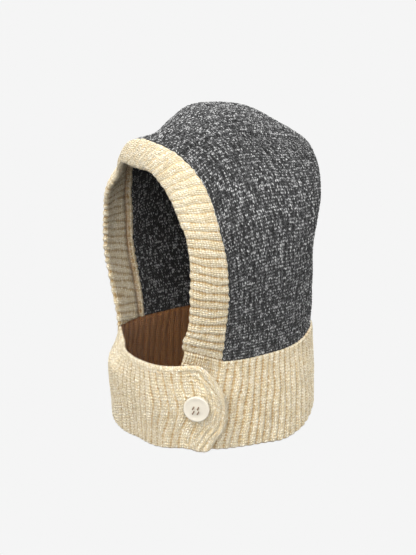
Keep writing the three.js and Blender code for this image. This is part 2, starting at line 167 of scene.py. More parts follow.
def held_at_ends(sway: Array, rib: Array, ribs: float) -> Array:
    """A sway of the ribs that fades out at the first and the last rib of a strip."""
    return sway * smooth(rib / 2) * smooth((ribs - rib) / 2)


class HeadForm:
    """The form that the knit is stretched over, with its soft dents."""

    HALF_WIDTH = 90.0
    FRONT_REACH = 100.0
    BACK_REACH = 110.0
    # range and halvings of the search along a ray
    NEAREST, FARTHEST, HALVINGS = 5.0, 420.0, 30
    # height, half width, front reach, back reach, front squareness, back squareness
    LEVELS = (
        (1.0, 0.0, 0.0, 0.0, 2.1, 2.1), (0.985, 0.33, 0.28, 0.36, 2.1, 2.1),
        (0.95, 0.53, 0.57, 0.67, 2.2, 2.2), (0.91, 0.65, 0.78, 0.85, 2.4, 2.3),
        (0.85, 0.77, 0.86, 0.97, 2.7, 2.4), (0.76, 0.92, 0.9, 1.01, 3.1, 2.5),
        (0.66, 1.03, 0.93, 0.99, 3.4, 2.4), (0.527, 1.06, 0.95, 0.94, 3.5, 2.3),
        (0.394, 1.02, 0.96, 0.925, 3.2, 2.3), (0.244, 0.98, 0.97, 0.92, 2.6, 2.3),
        (0.132, 1.03, 1.0, 0.94, 2.4, 2.2), (0.0, 1.06, 0.97, 0.94, 2.3, 2.2),
        (-0.06, 1.06, 0.96, 0.93, 2.3, 2.2),
    )
    # angle round the head, height share, depth, spread
    DENTS = (
        (-46, 0.92, 10, 30), (-22, 0.955, 8, 24), (170, 0.935, 8, 34), (146, 0.55, 3, 60),
        (118, 0.44, 1.6, 26), (86, 0.62, -1.4, 30), (150, 0.55, 1.8, 24), (-110, 0.5, 1.5, 26),
        (-150, 0.6, -1.2, 26), (70, 0.31, 1.4, 18), (-35, 0.80, 5.5, 17),
    )

    def __init__(self) -> None:
        """Makes the curves through the tables."""
        rows = np.array(self.LEVELS)
        keys = self.key_of(rows[:, 0] * CROWN_HEIGHT)
        sizes = (1.0, self.HALF_WIDTH, self.FRONT_REACH, self.BACK_REACH, 1.0, 1.0)
        self.curves = [through_rows(keys, rows[:, k] * sizes[k]) for k in range(1, 6)]
        self.centre = np.array([0.0, 0.0, HEAD_CENTRE_HEIGHT])

    @staticmethod
    def key_of(z: Array) -> Array:
        """The key of a level, which crowds toward the crown."""
        return np.sqrt(np.maximum(0.0, 1.0 - z / CROWN_HEIGHT))

    def radius(self, angle: Array, z: Array) -> Array:
        """The reach of the form at an angle in degrees from the front and a level."""
        key = self.key_of(z)
        s = np.abs(np.sin(np.radians(angle)))
        c = np.cos(np.radians(angle))
        width, front, back, front_square, back_square = (f(key) for f in self.curves)
        reach = np.maximum(np.where(c > 0, front, back), 1e-6)
        n = np.where(c > 0, front_square, back_square)
        total = (s / np.maximum(width, 1e-6)) ** n + (np.abs(c) / reach) ** n
        return total ** (-1.0 / n)

    def bare(self, angle: Array, z: Array) -> Array:
        """Points of the form without its dents."""
        angle, z = np.broadcast_arrays(np.asarray(angle, float), np.asarray(z, float))
        r = self.radius(angle, z)
        a = np.radians(angle)
        return np.stack([r * np.sin(a), -r * np.cos(a), z], axis=-1)

    def outsideness(self, p: Array) -> Array:
        """Above zero outside the form and below zero inside it."""
        angle = np.degrees(np.arctan2(p[..., 0], -p[..., 1]))
        z = np.minimum(p[..., 2], CROWN_HEIGHT - 1e-6)
        value = np.hypot(p[..., 0], p[..., 1]) / self.radius(angle, z) - 1.0
        return np.where(p[..., 2] >= CROWN_HEIGHT, 1.0, value)

    def normal(self, p: Array) -> Array:
        """Directions out of the form."""
        step = 0.8
        gradient = []
        for axis in np.eye(3) * step:
            gradient.append(self.outsideness(p + axis) - self.outsideness(p - axis))
        return unit(np.stack(gradient, axis=-1))

    def dent(self, p: Array) -> Array:
        """How far the dents move the surface out, below zero where it sinks."""
        total = np.zeros(p.shape[:-1])
        for angle, share, depth, spread in self.DENTS:
            middle = self.bare(angle, share * CROWN_HEIGHT)
            d = np.linalg.norm(p - middle, axis=-1) / spread
            total -= depth * np.exp(-d * d)
        return total

    def layers(self, base: Array, out: Array, inn: Array) -> dict[str, Array]:
        """Outer and inner layer of a wall, from points of the bare form and two offsets."""
        normal, dent = self.normal(base), self.dent(base)
        return {
            name: base + normal * (dent + offset)[..., None]
            for name, offset in (("outer", out), ("inner", inn))
        }

    def along(self, origin: Array, direction: Array) -> Array:
        """Finds where rays that start inside the form leave it.

        Args:
            origin: Starting points inside the form.
            direction: Unit directions, one per point.

        Returns:
            The points on the bare form.
        """
        low = np.full(direction.shape[:-1], self.NEAREST)
        high = np.full(direction.shape[:-1], self.FARTHEST)
        for _ in range(self.HALVINGS):
            middle = (low + high) / 2
            out = self.outsideness(origin + direction * middle[..., None]) > 0
            high = np.where(out, middle, high)
            low = np.where(out, low, middle)
        return origin + direction * low[..., None]


class Neckline:
    """The seam between hood and collar, and the hem, all the way round."""

    # angle from the front by the near side and the back, height of seam, height of hem
    ROWS = (
        (30, 0.302, -0.036), (40.5, 0.292, -0.037), (50.7, 0.276, -0.039), (57.5, 0.262, -0.04),
        (62.5, 0.251, -0.041), (72, 0.246, -0.042), (86, 0.245, -0.046), (106, 0.245, -0.058),
        (120, 0.247, -0.051), (129, 0.253, -0.037), (140, 0.261, -0.018), (180, 0.266, 0.002),
        (220, 0.254, -0.004), (250, 0.232, -0.026), (275, 0.228, -0.044), (288, 0.228, -0.048),
        (312, 0.228, -0.05), (325, 0.228, -0.05),
    )

    def __init__(self) -> None:
        """Makes the curves through the table."""
        self.seam_curve, self.hem_curve = curves_of(self.ROWS, CROWN_HEIGHT, CROWN_HEIGHT)

    @staticmethod
    def whole_turn(angle: Array) -> Array:
        """An angle counted from 0 to 360."""
        return np.where(np.asarray(angle) < 0, np.asarray(angle) + 360, angle)

    def seam(self, angle: Array) -> Array:
        """Height of the seam at an angle."""
        return self.seam_curve(self.whole_turn(angle))

    def hem(self, angle: Array) -> Array:
        """Height of the hem at an angle."""
        return self.hem_curve(self.whole_turn(angle))


class BandPath:
    """Where the face band runs: its front edge and its rear edge on the form."""

    # front edge angle, front edge height, rear edge angle, rear edge height
    NEAR = (
        (0, 0.838, 0, 0.919), (14, 0.84, 16, 0.913), (25.5, 0.814, 30, 0.897),
        (34, 0.77, 44, 0.853), (40, 0.718, 54.5, 0.78), (45.2, 0.648, 59.8, 0.69),
        (47.2, 0.555, 64.2, 0.565), (47, 0.46, 65.1, 0.46), (45.5, 0.37, 64.2, 0.36),
        (40.5, 0.292, 62.5, 0.249),
    )
    FAR = (
        (0, 0.838, 0, 0.919), (14, 0.838, 16, 0.908), (25.5, 0.806, 30, 0.885),
        (34, 0.76, 48, 0.842), (40, 0.712, 59, 0.782), (45.2, 0.648, 66, 0.695),
        (47.2, 0.555, 69.4, 0.57), (48, 0.46, 69.8, 0.46), (49.5, 0.35, 71.2, 0.35),
        (49.5, 0.229, 72, 0.229),
    )
    LIFT = 0.35  # clear of the collar where the band is sewn to it
    FOLLOWS = 0.88  # share of a side beyond which the band follows the seam

    def __init__(self, form: HeadForm, neck: Neckline) -> None:
        """Makes the curves of both sides."""
        self.form = form
        self.neck = neck
        self.sides = []
        for table in (self.NEAR, self.FAR):
            rows = np.array(table, float)
            rows[:, 1] *= CROWN_HEIGHT
            rows[:, 3] *= CROWN_HEIGHT
            at = np.linspace(0, 1, len(rows))
            self.sides.append([through_rows(at, rows[:, k]) for k in range(4)])

    def place(self, run: Array, across: Array) -> tuple[Array, Array]:
        """The band's place.

        Args:
            run: From -1 at the far end over the forehead to 1 at the near end.
            across: From 0 at the front edge to 1 at the rear edge.

        Returns:
            Angles round the head and levels.
        """
        run, across = np.broadcast_arrays(np.asarray(run, float), np.asarray(across, float))
        near = run >= 0
        t = np.abs(run)
        both = []
        for curves in self.sides:
            at = [f(t) for f in curves] + [f(np.ones_like(t)) for f in curves]
            both.append([mix(at[k], at[k + 2], across) for k in (0, 1, 4, 5)])
        angle, z, end_angle, end_z = (np.where(near, a, b) for a, b in zip(*both))
        sign = np.where(near, 1.0, -1.0)
        follow = np.maximum(0.0, (t - self.FOLLOWS) / (1 - self.FOLLOWS))
        lift = self.neck.seam(sign * end_angle) + self.LIFT - end_z
        return sign * angle, z + follow * lift

    def even_runs(self, count: int) -> tuple[Array, float]:
        """Runs spaced evenly by length along the middle of the band, and that length."""
        fine = np.linspace(-1, 1, 1201)
        angle, z = self.place(fine, 0.5)
        length = length_along(self.form.bare(angle, z))
        return np.interp(np.linspace(0, length[-1], count), length, fine), float(length[-1])

    def rear(self, run: Array, gap: float) -> Array:
        """Points of the bare form just behind the band's rear edge."""
        edge = self.form.bare(*self.place(run, 1.0))
        inward = self.form.bare(*self.place(run, 0.9))
        return edge + unit(edge - inward) * gap


@dataclass
class Lattice:
    """A knitted layer drawn as a grid of points, before it is a mesh.

    The grids have one row per step along the courses and one column per step across the
    wales. Stitch coordinates count whole stitches.
    """

    outer: Array
    inner: Array
    wale: Array
    course: Array
    # relief masks: 0 where a groove takes its full painted shade, 1 on a crest
    relief: Array
    inner_relief: Array
    # share of painted shade on the inner face
    shaded_inside: Array
    inner_step: tuple[int, int] = (1, 1)


def wave_noise(x: Array, y: Array, seed: int, waves: int = 9) -> Array:
    """Smooth uneven variation between about -1 and 1 over a plane, the same on each run.

    Args:
        x: First coordinate, in periods of about one.
        y: Second coordinate, in periods of about one.
        seed: Picks the pattern.
        waves: How many sine waves are summed.

    Returns:
        The variation at each place.
    """
    chooser = np.random.default_rng(seed)
    total = np.zeros(np.broadcast(x, y).shape)
    for _ in range(waves):
        turn = chooser.uniform(0, 2 * math.pi)
        rate = chooser.uniform(0.5, 1.4) * 2 * math.pi
        phase = chooser.uniform(0, 2 * math.pi)
        total += np.sin(rate * (x * math.cos(turn) + y * math.sin(turn)) + phase)
    return total / math.sqrt(waves)


def stitch_legs(wale: Array, course: Array) -> Array:
    """Height from 0 to 1 of the two plump legs of each V stitch."""
    side = 2 * np.abs(share_of(wale) - 0.5)
    turn = share_of(course - LEG_SLOPE * side)
    return np.sin(np.pi * turn) ** 0.8 * np.sin(np.pi * np.clip(side, 0, 1)) ** 0.7


def stitch_jitter(wale: Array, course: Array, seed: int) -> Array:
    """An uneven share from -1 to 1 that is the same over one stitch."""
    table = np.random.default_rng(seed).uniform(-1, 1, (257, 263))
    return table[np.floor(wale).astype(int) % 257, np.floor(course).astype(int) % 263]


def rounded(distance: Array, radius: float, least: float) -> Array:
    """Share of the wall left at a distance from a rounded edge."""
    t = np.clip(distance / radius, 0, 1)
    return least + (1 - least) * np.sqrt(np.maximum(0.0, 1 - (1 - t) ** 2))


class Workbench:
    """Modelling steps that the knitted pieces share."""

    @staticmethod
    def clear_selection() -> None:
        """Leaves every object unselected, in object mode."""
        active = bpy.context.object
        if active is not None and active.mode != "OBJECT":
            bpy.ops.object.mode_set(mode="OBJECT")
        bpy.ops.object.select_all(action="DESELECT")

    @classmethod
    def pick(cls, made: bpy.types.Object) -> None:
        """Selects one object alone and makes it active."""
        cls.clear_selection()
        made.select_set(True)
        bpy.context.view_layer.objects.active = made

    @staticmethod
    def on_whole_mesh(operator: Callable, **settings: object) -> None:
        """Runs an edit-mode operator on the whole of the active mesh."""
        bpy.ops.object.mode_set(mode="EDIT")
        bpy.ops.mesh.select_all(action="SELECT")
        operator(**settings)
        bpy.ops.object.mode_set(mode="OBJECT")

    @classmethod
    def merged(cls, pieces: list, name: str) -> bpy.types.Object:
        """Joins pieces into the first of them and names it."""
        cls.pick(pieces[0])
        for piece in pieces:
            piece.select_set(True)
        bpy.ops.object.join()
        joined = bpy.context.object
        joined.name = joined.data.name = name
        return joined

    @staticmethod
    def to_row_frame(points: Array) -> Array:
        """Millimetres from the hem to metres from the inside of the crown."""
        moved = np.array(points, float).reshape(-1, 3)
        moved[:, 2] -= CROWN_SEAT
        return moved / 1000.0

    @classmethod
    def sheet(cls, name: str, points: Array, knots: Array, shaded_inside: bool) -> bpy.types.Object:
        """Models one face of a wall: a grid laid on a layer's points.

        Args:
            name: Name of the sheet.
            points: Places of the layer's knots, in rows and columns.
            knots: Number of each of them in the full lattice.
            shaded_inside: Whether it is the inner face.

        Returns:
            The open sheet, with its knot numbers.
        """
        rows, columns = knots.shape
        cls.clear_selection()
        bpy.ops.mesh.primitive_grid_add(
            x_subdivisions=columns - 1, y_subdivisions=rows - 1, size=1.0, calc_uvs=False
        )
        made = bpy.context.object
        made.name = made.data.name = name
        mesh = made.data
        flat = np.empty(len(mesh.vertices) * 3, np.float32)
        mesh.vertices.foreach_get("co", flat)
        place = flat.reshape(-1, 3)
        i = np.rint((place[:, 1] + 0.5) * (rows - 1)).astype(int)
        j = np.rint((place[:, 0] + 0.5) * (columns - 1)).astype(int)
        laid = cls.to_row_frame(points)[i * columns + j]
        mesh.vertices.foreach_set("co", laid.astype(np.float32).ravel())
        number = knots.ravel()[i * columns + j].astype(np.int32)
        mesh.attributes.new("knot", "INT", "POINT").data.foreach_set("value", number)
        inside = np.full(len(number), int(shaded_inside), np.int32)
        mesh.attributes.new("inside", "INT", "POINT").data.foreach_set("value", inside)
        return made

    @classmethod
    def knitted_wall(cls, name: str, lattice: Lattice) -> bpy.types.Object:
        """Models one knitted wall: an outer and an inner sheet bridged all round.

        Args:
            name: Name of the piece.
            lattice: Outer and inner layer with their stitch coordinates.

        Returns:
            The closed mesh object, with a stitch map and relief attributes.
        """
        rows, columns = lattice.wale.shape
        down, along = lattice.inner_step
        knots = np.arange(rows * columns).reshape(rows, columns)
        coarse = (slice(None, None, down), slice(None, None, along))
        inner = cls.sheet("inner_sheet", lattice.inner[coarse], knots[coarse], True)
        made = cls.merged([cls.sheet(name, lattice.outer, knots, False), inner], name)
        bpy.ops.object.mode_set(mode="EDIT")
        bpy.ops.mesh.select_mode(type="EDGE")
        bpy.ops.mesh.select_all(action="DESELECT")
        bpy.ops.mesh.select_non_manifold()
        bpy.ops.mesh.bridge_edge_loops()
        bpy.ops.mesh.select_mode(type="VERT")
        bpy.ops.object.mode_set(mode="OBJECT")
        mesh = made.data
        count = len(mesh.vertices)
        inside = np.zeros(count, np.int32)
        mesh.attributes["inside"].data.foreach_get("value", inside)
        numbers = np.zeros(count, np.int32)
        mesh.attributes["knot"].data.foreach_get("value", numbers)
        lifted = inside.astype(bool)
        outer_relief, inner_relief = (
            values.ravel()[numbers] for values in (lattice.relief, lattice.inner_relief)
        )
        # masks of painted shade: grooves and hollows, and the inside
        cls.paint(mesh, "relief", np.where(lifted, inner_relief, outer_relief))
        cls.paint(mesh, "shaded_inside", lifted * lattice.shaded_inside.ravel()[numbers])
        cls.stitch_map(mesh, lattice, numbers)
        mesh.attributes.remove(mesh.attributes["knot"])
        mesh.attributes.remove(mesh.attributes["inside"])
        mesh.update()
        cls.face_outward(made)
        bpy.ops.object.shade_smooth()
        return made

    @staticmethod
    def paint(mesh: bpy.types.Mesh, name: str, values: Array) -> None:
        """Stores a number at each vertex."""
        layer = mesh.attributes.new(name, "FLOAT", "POINT")
        layer.data.foreach_set("value", np.asarray(values, np.float32))

    @staticmethod
    def stitch_map(mesh: bpy.types.Mesh, lattice: Lattice, knots: Array) -> None:
        """Stores the stitch coordinates of each face corner as a UV map."""
        corners = np.zeros(len(mesh.loops), np.int32)
        mesh.loops.foreach_get("vertex_index", corners)
        at = knots[corners]
        uv = np.stack([lattice.wale.ravel()[at], lattice.course.ravel()[at]], axis=-1)
        layer = mesh.uv_layers.new(name="stitches")
        layer.data.foreach_set("uv", uv.astype(np.float32).ravel())

    @staticmethod
    def enclosed_volume(mesh: bpy.types.Mesh) -> float:
        """Volume inside a mesh, below zero if its faces point inward."""
        mesh.calc_loop_triangles()
        co = np.empty(len(mesh.vertices) * 3, np.float32)
        mesh.vertices.foreach_get("co", co)
        corners = np.empty(len(mesh.loop_triangles) * 3, np.int32)
        mesh.loop_triangles.foreach_get("vertices", corners)
        a, b, c = co.reshape(-1, 3).astype(float)[corners.reshape(-1, 3)].transpose(1, 0, 2)
        return float(np.einsum("ij,ij->i", a, np.cross(b, c)).sum() / 6)

    @classmethod
    def face_outward(cls, made: bpy.types.Object) -> None:
        """Turns the faces of a closed piece outward."""
        cls.pick(made)
        cls.on_whole_mesh(bpy.ops.mesh.normals_make_consistent, inside=False)
        if cls.enclosed_volume(made.data) < 0:
            cls.on_whole_mesh(bpy.ops.mesh.flip_normals)

    @staticmethod
    def settle(made: bpy.types.Object, node: str, slot: str, finish: bpy.types.Material) -> None:
        """Dresses a finished piece and ties it to the frame.

        Args:
            made: The piece.
            node: The solid that it stands for.
            slot: The record's material slot, not used.
            finish: Its material.
        """
        mesh = made.data
        mesh.materials.clear()
        mesh.materials.append(finish)
        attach(made, "root")
        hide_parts(node)
        mesh.calc_loop_triangles()
        sides = np.zeros(len(mesh.loops), np.int32)
        mesh.loops.foreach_get("edge_index", sides)
        open_edges = int((np.bincount(sides, minlength=len(mesh.edges)) != 2).sum())
        count = len(mesh.loop_triangles)
        LOG.info("%s: %d triangles, %d open edges", made.name, count, open_edges)


class Wiring:
    """A short way to write shader nodes."""

    def __init__(self, tree: bpy.types.NodeTree) -> None:
        """Works on a node tree."""
        self.tree = tree

    @staticmethod
    def empty_material(name: str) -> bpy.types.Material:
        """Makes a material without nodes."""
        made = bpy.data.materials.new(name)
        made.use_nodes = True
        made.node_tree.nodes.clear()
        return made

    def show(self, shader: bpy.types.Node) -> None:
        """Ends the material in a shader."""
        self.feed(self.node("ShaderNodeOutputMaterial").inputs["Surface"], shader.outputs[0])

    def skin(self, colour: object, height: object, relief: tuple, **gloss: object) -> None:
        """Ends the material in a bumped surface.

        Args:
            colour: Its colour.
            height: Height of its finest relief.
            relief: Strength and distance of that relief.
            gloss: The surface's other sockets by name, with a low line for each space.
        """
        bump = self.node("ShaderNodeBump")
        self.feed(bump.inputs["Strength"], relief[0])
        self.feed(bump.inputs["Distance"], relief[1])
        self.feed(bump.inputs["Height"], height)
        skin = self.node("ShaderNodeBsdfPrincipled")
        self.feed(skin.inputs["Base Color"], colour)
        self.feed(skin.inputs["Normal"], bump.outputs["Normal"])
        for name, value in gloss.items():
            self.feed(skin.inputs[name.replace("_", " ")], value)
        self.show(skin)

    def node(self, kind: str, **settings: object) -> bpy.types.Node:
        """Adds a node and sets its properties."""
        made = self.tree.nodes.new(kind)
        for name, value in settings.items():
            setattr(made, name, value)
        return made

    def feed(self, socket: bpy.types.NodeSocket, value: object) -> None:
        """Links a socket or sets it to a constant."""
        if isinstance(value, bpy.types.NodeSocket):
            self.tree.links.new(value, socket)
        elif value is not None:
            socket.default_value = value

    def math(self, operation: str, a: object, b: object = None, c: object = None) -> object:
        """A math node's output."""
        made = self.node("ShaderNodeMath", operation=operation)
        for socket, value in zip(made.inputs, (a, b, c)):
            self.feed(socket, value)
        return made.outputs[0]

    def blend(self, share: object, a: object, b: object, kind: str = "MIX") -> object:
        """A colour mix node's output."""
        made = self.node("ShaderNodeMix", data_type="RGBA", blend_type=kind)
        self.feed(made.inputs["Factor"], share)
        colours = [socket for socket in made.inputs if socket.type == "RGBA"]
        self.feed(colours[0], a)
        self.feed(colours[1], b)
        return next(socket for socket in made.outputs if socket.type == "RGBA")

    def span(self, value: object, low: float, high: float, to: tuple = (0.0, 1.0)) -> object:
        """Maps a range of values to another, held at its ends."""
        made = self.node("ShaderNodeMapRange", interpolation_type="SMOOTHSTEP")
        self.feed(made.inputs["Value"], value)
        for socket, bound in zip(made.inputs[1:5], (low, high, *to)):
            socket.default_value = bound
        return made.outputs["Result"]

    def noise(self, vector: object, scale: object, detail: float, rough: float = 0.5) -> object:
        """A noise texture's value."""
        made = self.node("ShaderNodeTexNoise")
        self.feed(made.inputs["Vector"], vector)
        self.feed(made.inputs["Scale"], scale)
        made.inputs["Detail"].default_value = detail
        made.inputs["Roughness"].default_value = rough
        return made.outputs["Fac"]

    def attribute(self, name: str) -> object:
        """The value of a vertex attribute."""
        return self.node("ShaderNodeAttribute", attribute_name=name).outputs["Fac"]


class Effects:
    """Node groups that several finishes share."""

    made: dict[str, bpy.types.NodeTree] = {}

    @classmethod
    def group(cls, name: str, inputs: dict, outputs: dict) -> tuple[Wiring, object, object]:
        """Starts a node group with named sockets.

        Args:
            name: Name of the group.
            inputs: Socket names with their default values.
            outputs: Socket names with their socket kinds.

        Returns:
            The wiring of its tree, its input node and its output node.
        """
        tree = bpy.data.node_groups.new(name, "ShaderNodeTree")
        for label, value in inputs.items():
            kind = "NodeSocketFloat"
            if value == "vector":
                kind = "NodeSocketVector"
            elif isinstance(value, tuple):
                kind = "NodeSocketColor"
            socket = tree.interface.new_socket(name=label, in_out="INPUT", socket_type=kind)
            if kind != "NodeSocketVector":
                socket.default_value = value
        for label, kind in outputs.items():
            tree.interface.new_socket(name=label, in_out="OUTPUT", socket_type=kind)
        wiring = Wiring(tree)
        cls.made[name] = tree
        return wiring, wiring.node("NodeGroupInput"), wiring.node("NodeGroupOutput")

    @classmethod
    def place(cls, wiring: Wiring, name: str, values: dict) -> bpy.types.Node:
        """Puts a group in a material with its own values."""
        made = wiring.node("ShaderNodeGroup", node_tree=cls.made[name])
        for label, value in values.items():
            wiring.feed(made.inputs[label], value)
        return made

    @classmethod
    def build_stitch(cls) -> None:
        """V stitches from stitch coordinates: height of the legs and a tone for each leg."""
        wiring, given, result = cls.group(
            "V stitches",
            {"Stitch": "vector", "Slope": LEG_SLOPE, "Fibre": 0.12},
            {"Height": "NodeSocketFloat", "Tone": "NodeSocketFloat"},
        )
        w = wiring
        bend = w.noise(given.outputs["Stitch"], 0.9, 2.0)
        sway = w.noise(given.outputs["Stitch"], 0.7, 1.0)
        parts = w.node("ShaderNodeSeparateXYZ")
        w.feed(parts.inputs[0], given.outputs["Stitch"])
        bend, sway = (w.math("SUBTRACT", value, 0.5) for value in (bend, sway))
        bend = w.math("MULTIPLY", bend, given.outputs["Fibre"])
        wale = w.math("ADD", parts.outputs[0], bend)
        course = w.math("ADD", parts.outputs[1], w.math("MULTIPLY", sway, 1.2))
        across = w.math("FRACT", wale)
        side = w.math("MULTIPLY", w.math("ABSOLUTE", w.math("SUBTRACT", across, 0.5)), 2.0)
        slanted = w.math("SUBTRACT", course, w.math("MULTIPLY", side, given.outputs["Slope"]))
        turn = w.math("FRACT", slanted)
        along = w.math("POWER", w.math("SINE", w.math("MULTIPLY", turn, math.pi)), 1.2)
        over = w.math("POWER", w.math("SINE", w.math("MULTIPLY", side, math.pi)), 0.9)
        w.feed(result.inputs["Height"], w.math("MULTIPLY", along, over))
        leg = w.node("ShaderNodeCombineXYZ")
        w.feed(leg.inputs[0], w.math("FLOOR", w.math("MULTIPLY", wale, 2.0)))
        w.feed(leg.inputs[1], w.math("FLOOR", slanted))
        white = w.node("ShaderNodeTexWhiteNoise", noise_dimensions="2D")
        w.feed(white.inputs["Vector"], leg.outputs[0])
        w.feed(result.inputs["Tone"], white.outputs["Value"])

    @classmethod
    def build_fuzz(cls) -> None:
        """Loose wool fibres: a fine uneven height and a mask of pale hairs."""
        wiring, given, result = cls.group(
            "Wool fibres",
            {"Place": "vector", "Scale": 900.0},
            {"Height": "NodeSocketFloat", "Hairs": "NodeSocketFloat"},
        )
        w = wiring
        fine = w.noise(given.outputs["Place"], given.outputs["Scale"], 3.0, 0.65)
        coarse = w.math("MULTIPLY", given.outputs["Scale"], 0.35)
        slow = w.noise(given.outputs["Place"], coarse, 2.0)
        fine_part, slow_part = w.math("MULTIPLY", fine, 0.6), w.math("MULTIPLY", slow, 0.4)
        w.feed(result.inputs["Height"], w.math("ADD", fine_part, slow_part))
        w.feed(result.inputs["Hairs"], w.span(fine, 0.56, 0.72))

    @classmethod
    def build_groove_shade(cls) -> None:
        """Painted shade in the grooves of a rib: a soft wide shade, a darker pit of uneven strength
        at each stitch, and shade on the ribs' sides.
        """
        wiring, given, result = cls.group(
            "Rib groove shade",
            {"Stitch": "vector", "Crest": 1.0, "Edge": 0.62, "Narrow": 2.2},
            {"Mask": "NodeSocketFloat", "Slope": "NodeSocketFloat"},
        )
        w = wiring
        parts = w.node("ShaderNodeSeparateXYZ")
        w.feed(parts.inputs[0], given.outputs["Stitch"])
        uneven = w.noise(given.outputs["Stitch"], 1.3, 2.0)
        course = w.math("MULTIPLY_ADD", uneven, 0.5, parts.outputs[1])
        wave = w.math("SINE", w.math("MULTIPLY", w.math("FRACT", course), math.pi))
        cell = w.node("ShaderNodeCombineXYZ")
        w.feed(cell.inputs[0], w.math("FLOOR", w.math("MULTIPLY_ADD", parts.outputs[0], 0.5, 0.25)))
        w.feed(cell.inputs[1], w.math("FLOOR", course))
        chance = w.node("ShaderNodeTexWhiteNoise", noise_dimensions="2D")
        w.feed(chance.inputs["Vector"], cell.outputs[0])
        uneven = w.math("SUBTRACT", uneven, 0.5)
        edge = w.math("MULTIPLY_ADD", uneven, -0.7, given.outputs["Crest"])
        hollow = w.math("SUBTRACT", 1.0, w.math("DIVIDE", edge, given.outputs["Edge"]))
        strength = w.span(chance.outputs["Value"], 0.1, 0.75)
        pit = w.math("MULTIPLY", w.math("POWER", wave, given.outputs["Narrow"]), strength)
        pit = w.math("MULTIPLY_ADD", pit, 0.9, 0.1)
        w.feed(result.inputs["Mask"], w.math("MULTIPLY", w.span(hollow, 0.0, 0.6), pit))
        w.feed(result.inputs["Slope"], w.span(edge, 0.95, 0.1))

    @classmethod
    def build_all(cls) -> None:
        """Makes every shared group."""
        cls.build_stitch()
        cls.build_fuzz()
        cls.build_groove_shade()


def linear(red: int, green: int, blue: int) -> tuple[float, float, float, float]:
    """A display colour as the linear colour that the shader takes."""
    parts = []
    for value in (red, green, blue):
        v = value / 255
        parts.append(v / 12.92 if v <= 0.04045 else ((v + 0.055) / 1.055) ** 2.4)
    return (parts[0], parts[1], parts[2], 1.0)


@dataclass(frozen=True)
class KnitFinish:
    """A woollen knit: colours of its yarn, the painted shade of its grooves, hollows and inside,
    and how rough and uneven it is.
    """

    name: str
    dark: tuple
    middle: tuple
    light: tuple
    # colours of painted shade: in grooves and hollows, then on the inside
    groove: tuple
    shaded_inside: tuple
    fleck_scale: float
    fleck_range: tuple
    groove_edge: float
    groove_narrow: float
    # strengths of painted shade: in the grooves, on the ribs' sides, between the legs
    groove_share: float
    slope_share: float
    hollow_share: float
    hollow_power: float
    speck: float
    hairs: float
    bump: float
    sheen: float

    def material(self) -> bpy.types.Material:
        """Builds the material of this knit.

        Returns:
            The material, which reads the stitch map and the relief attributes.
        """
        made = Wiring.empty_material(self.name)
        w = Wiring(made.node_tree)
        uv = w.node("ShaderNodeUVMap", uv_map="stitches").outputs["UV"]
        place = w.node("ShaderNodeTexCoord").outputs["Object"]
        stitch = Effects.place(w, "V stitches", {"Stitch": uv, "Slope": LEG_SLOPE, "Fibre": 0.5})
        fuzz = Effects.place(w, "Wool fibres", {"Place": place, "Scale": 1500.0})
        relief, shaded_inside = w.attribute("relief"), w.attribute("shaded_inside")
        where = {"Edge": self.groove_edge, "Narrow": self.groove_narrow}
        groove = Effects.place(w, "Rib groove shade", {"Stitch": uv, "Crest": relief, **where})
        # a tone for each leg, uneven by the yarn's own flecks and fibres
        fleck = w.noise(place, self.fleck_scale, 1.0, 0.6)
        own = w.math("MULTIPLY", stitch.outputs["Tone"], 0.6)
        tone = w.math("ADD", own, w.math("MULTIPLY", fleck, 0.8))
        loose = w.math("SUBTRACT", fuzz.outputs["Height"], 0.5)
        tone = w.math("ADD", tone, w.math("MULTIPLY", loose, 0.6))
        low, mean, high = self.fleck_range
        yarn = w.blend(w.span(tone, low, mean), self.dark, self.middle)
        yarn = w.blend(w.span(tone, mean, high), yarn, self.light)
        # painted shade darkens the inside of the piece, all but specks at the yarn's light colour
        inner = w.blend(1.0, yarn, self.shaded_inside, "MULTIPLY")
        bright = w.span(tone, high - 0.22, high - 0.04, (0.0, self.speck))
        yarn = w.blend(shaded_inside, yarn, w.blend(bright, inner, self.light))
        # painted shade in the grooves, on the ribs' sides and between the legs
        between = w.math("SUBTRACT", 1.0, stitch.outputs["Height"])
        hollow = w.math("POWER", between, self.hollow_power)
        share = self.groove_share
        open_side = w.math("MULTIPLY_ADD", shaded_inside, -0.55 * share, share)
        shade = w.math("MULTIPLY", groove.outputs["Mask"], open_side)
        shade = w.math("MULTIPLY_ADD", groove.outputs["Slope"], self.slope_share, shade)
        shade = w.math("MULTIPLY_ADD", hollow, self.hollow_share, shade)
        shaded = w.blend(1.0, yarn, self.groove, "MULTIPLY")
        yarn = w.blend(w.math("MINIMUM", shade, 0.96), yarn, shaded)
        outside = w.math("MULTIPLY_ADD", shaded_inside, -self.hairs, self.hairs)
        stray = w.math("MULTIPLY", fuzz.outputs["Hairs"], outside)
        legs = w.math("MULTIPLY", stitch.outputs["Height"], 0.8)
        w.skin(
            colour=w.blend(stray, yarn, self.light),
            height=w.math("ADD", legs, w.math("MULTIPLY", fuzz.outputs["Height"], 0.6)),
            relief=(self.bump, 0.0014),
            Roughness=w.span(fuzz.outputs["Height"], 0.2, 0.8, (0.82, 0.97)),
            Specular_IOR_Level=0.25,
            Sheen_Weight=self.sheen,
            Sheen_Roughness=0.55,
        )
        return made


GREY_MARL = KnitFinish(
    name="grey marl wool knit",
    dark=linear(24, 24, 25),
    middle=linear(106, 106, 107),
    light=linear(224, 224, 223),
    # painted shade colours: grooves and hollows, then the inside
    groove=linear(16, 16, 18),
    shaded_inside=linear(56, 56, 58),
    fleck_scale=1000.0,
    fleck_range=(0.5, 0.68, 0.94),
    groove_edge=0.95,
    groove_narrow=1.0,
    groove_share=1.0,
    slope_share=0.0,
    hollow_share=0.9,
    hollow_power=1.1,
    speck=0.9,
    hairs=0.12,
    bump=1.0,
    sheen=0.12,
)

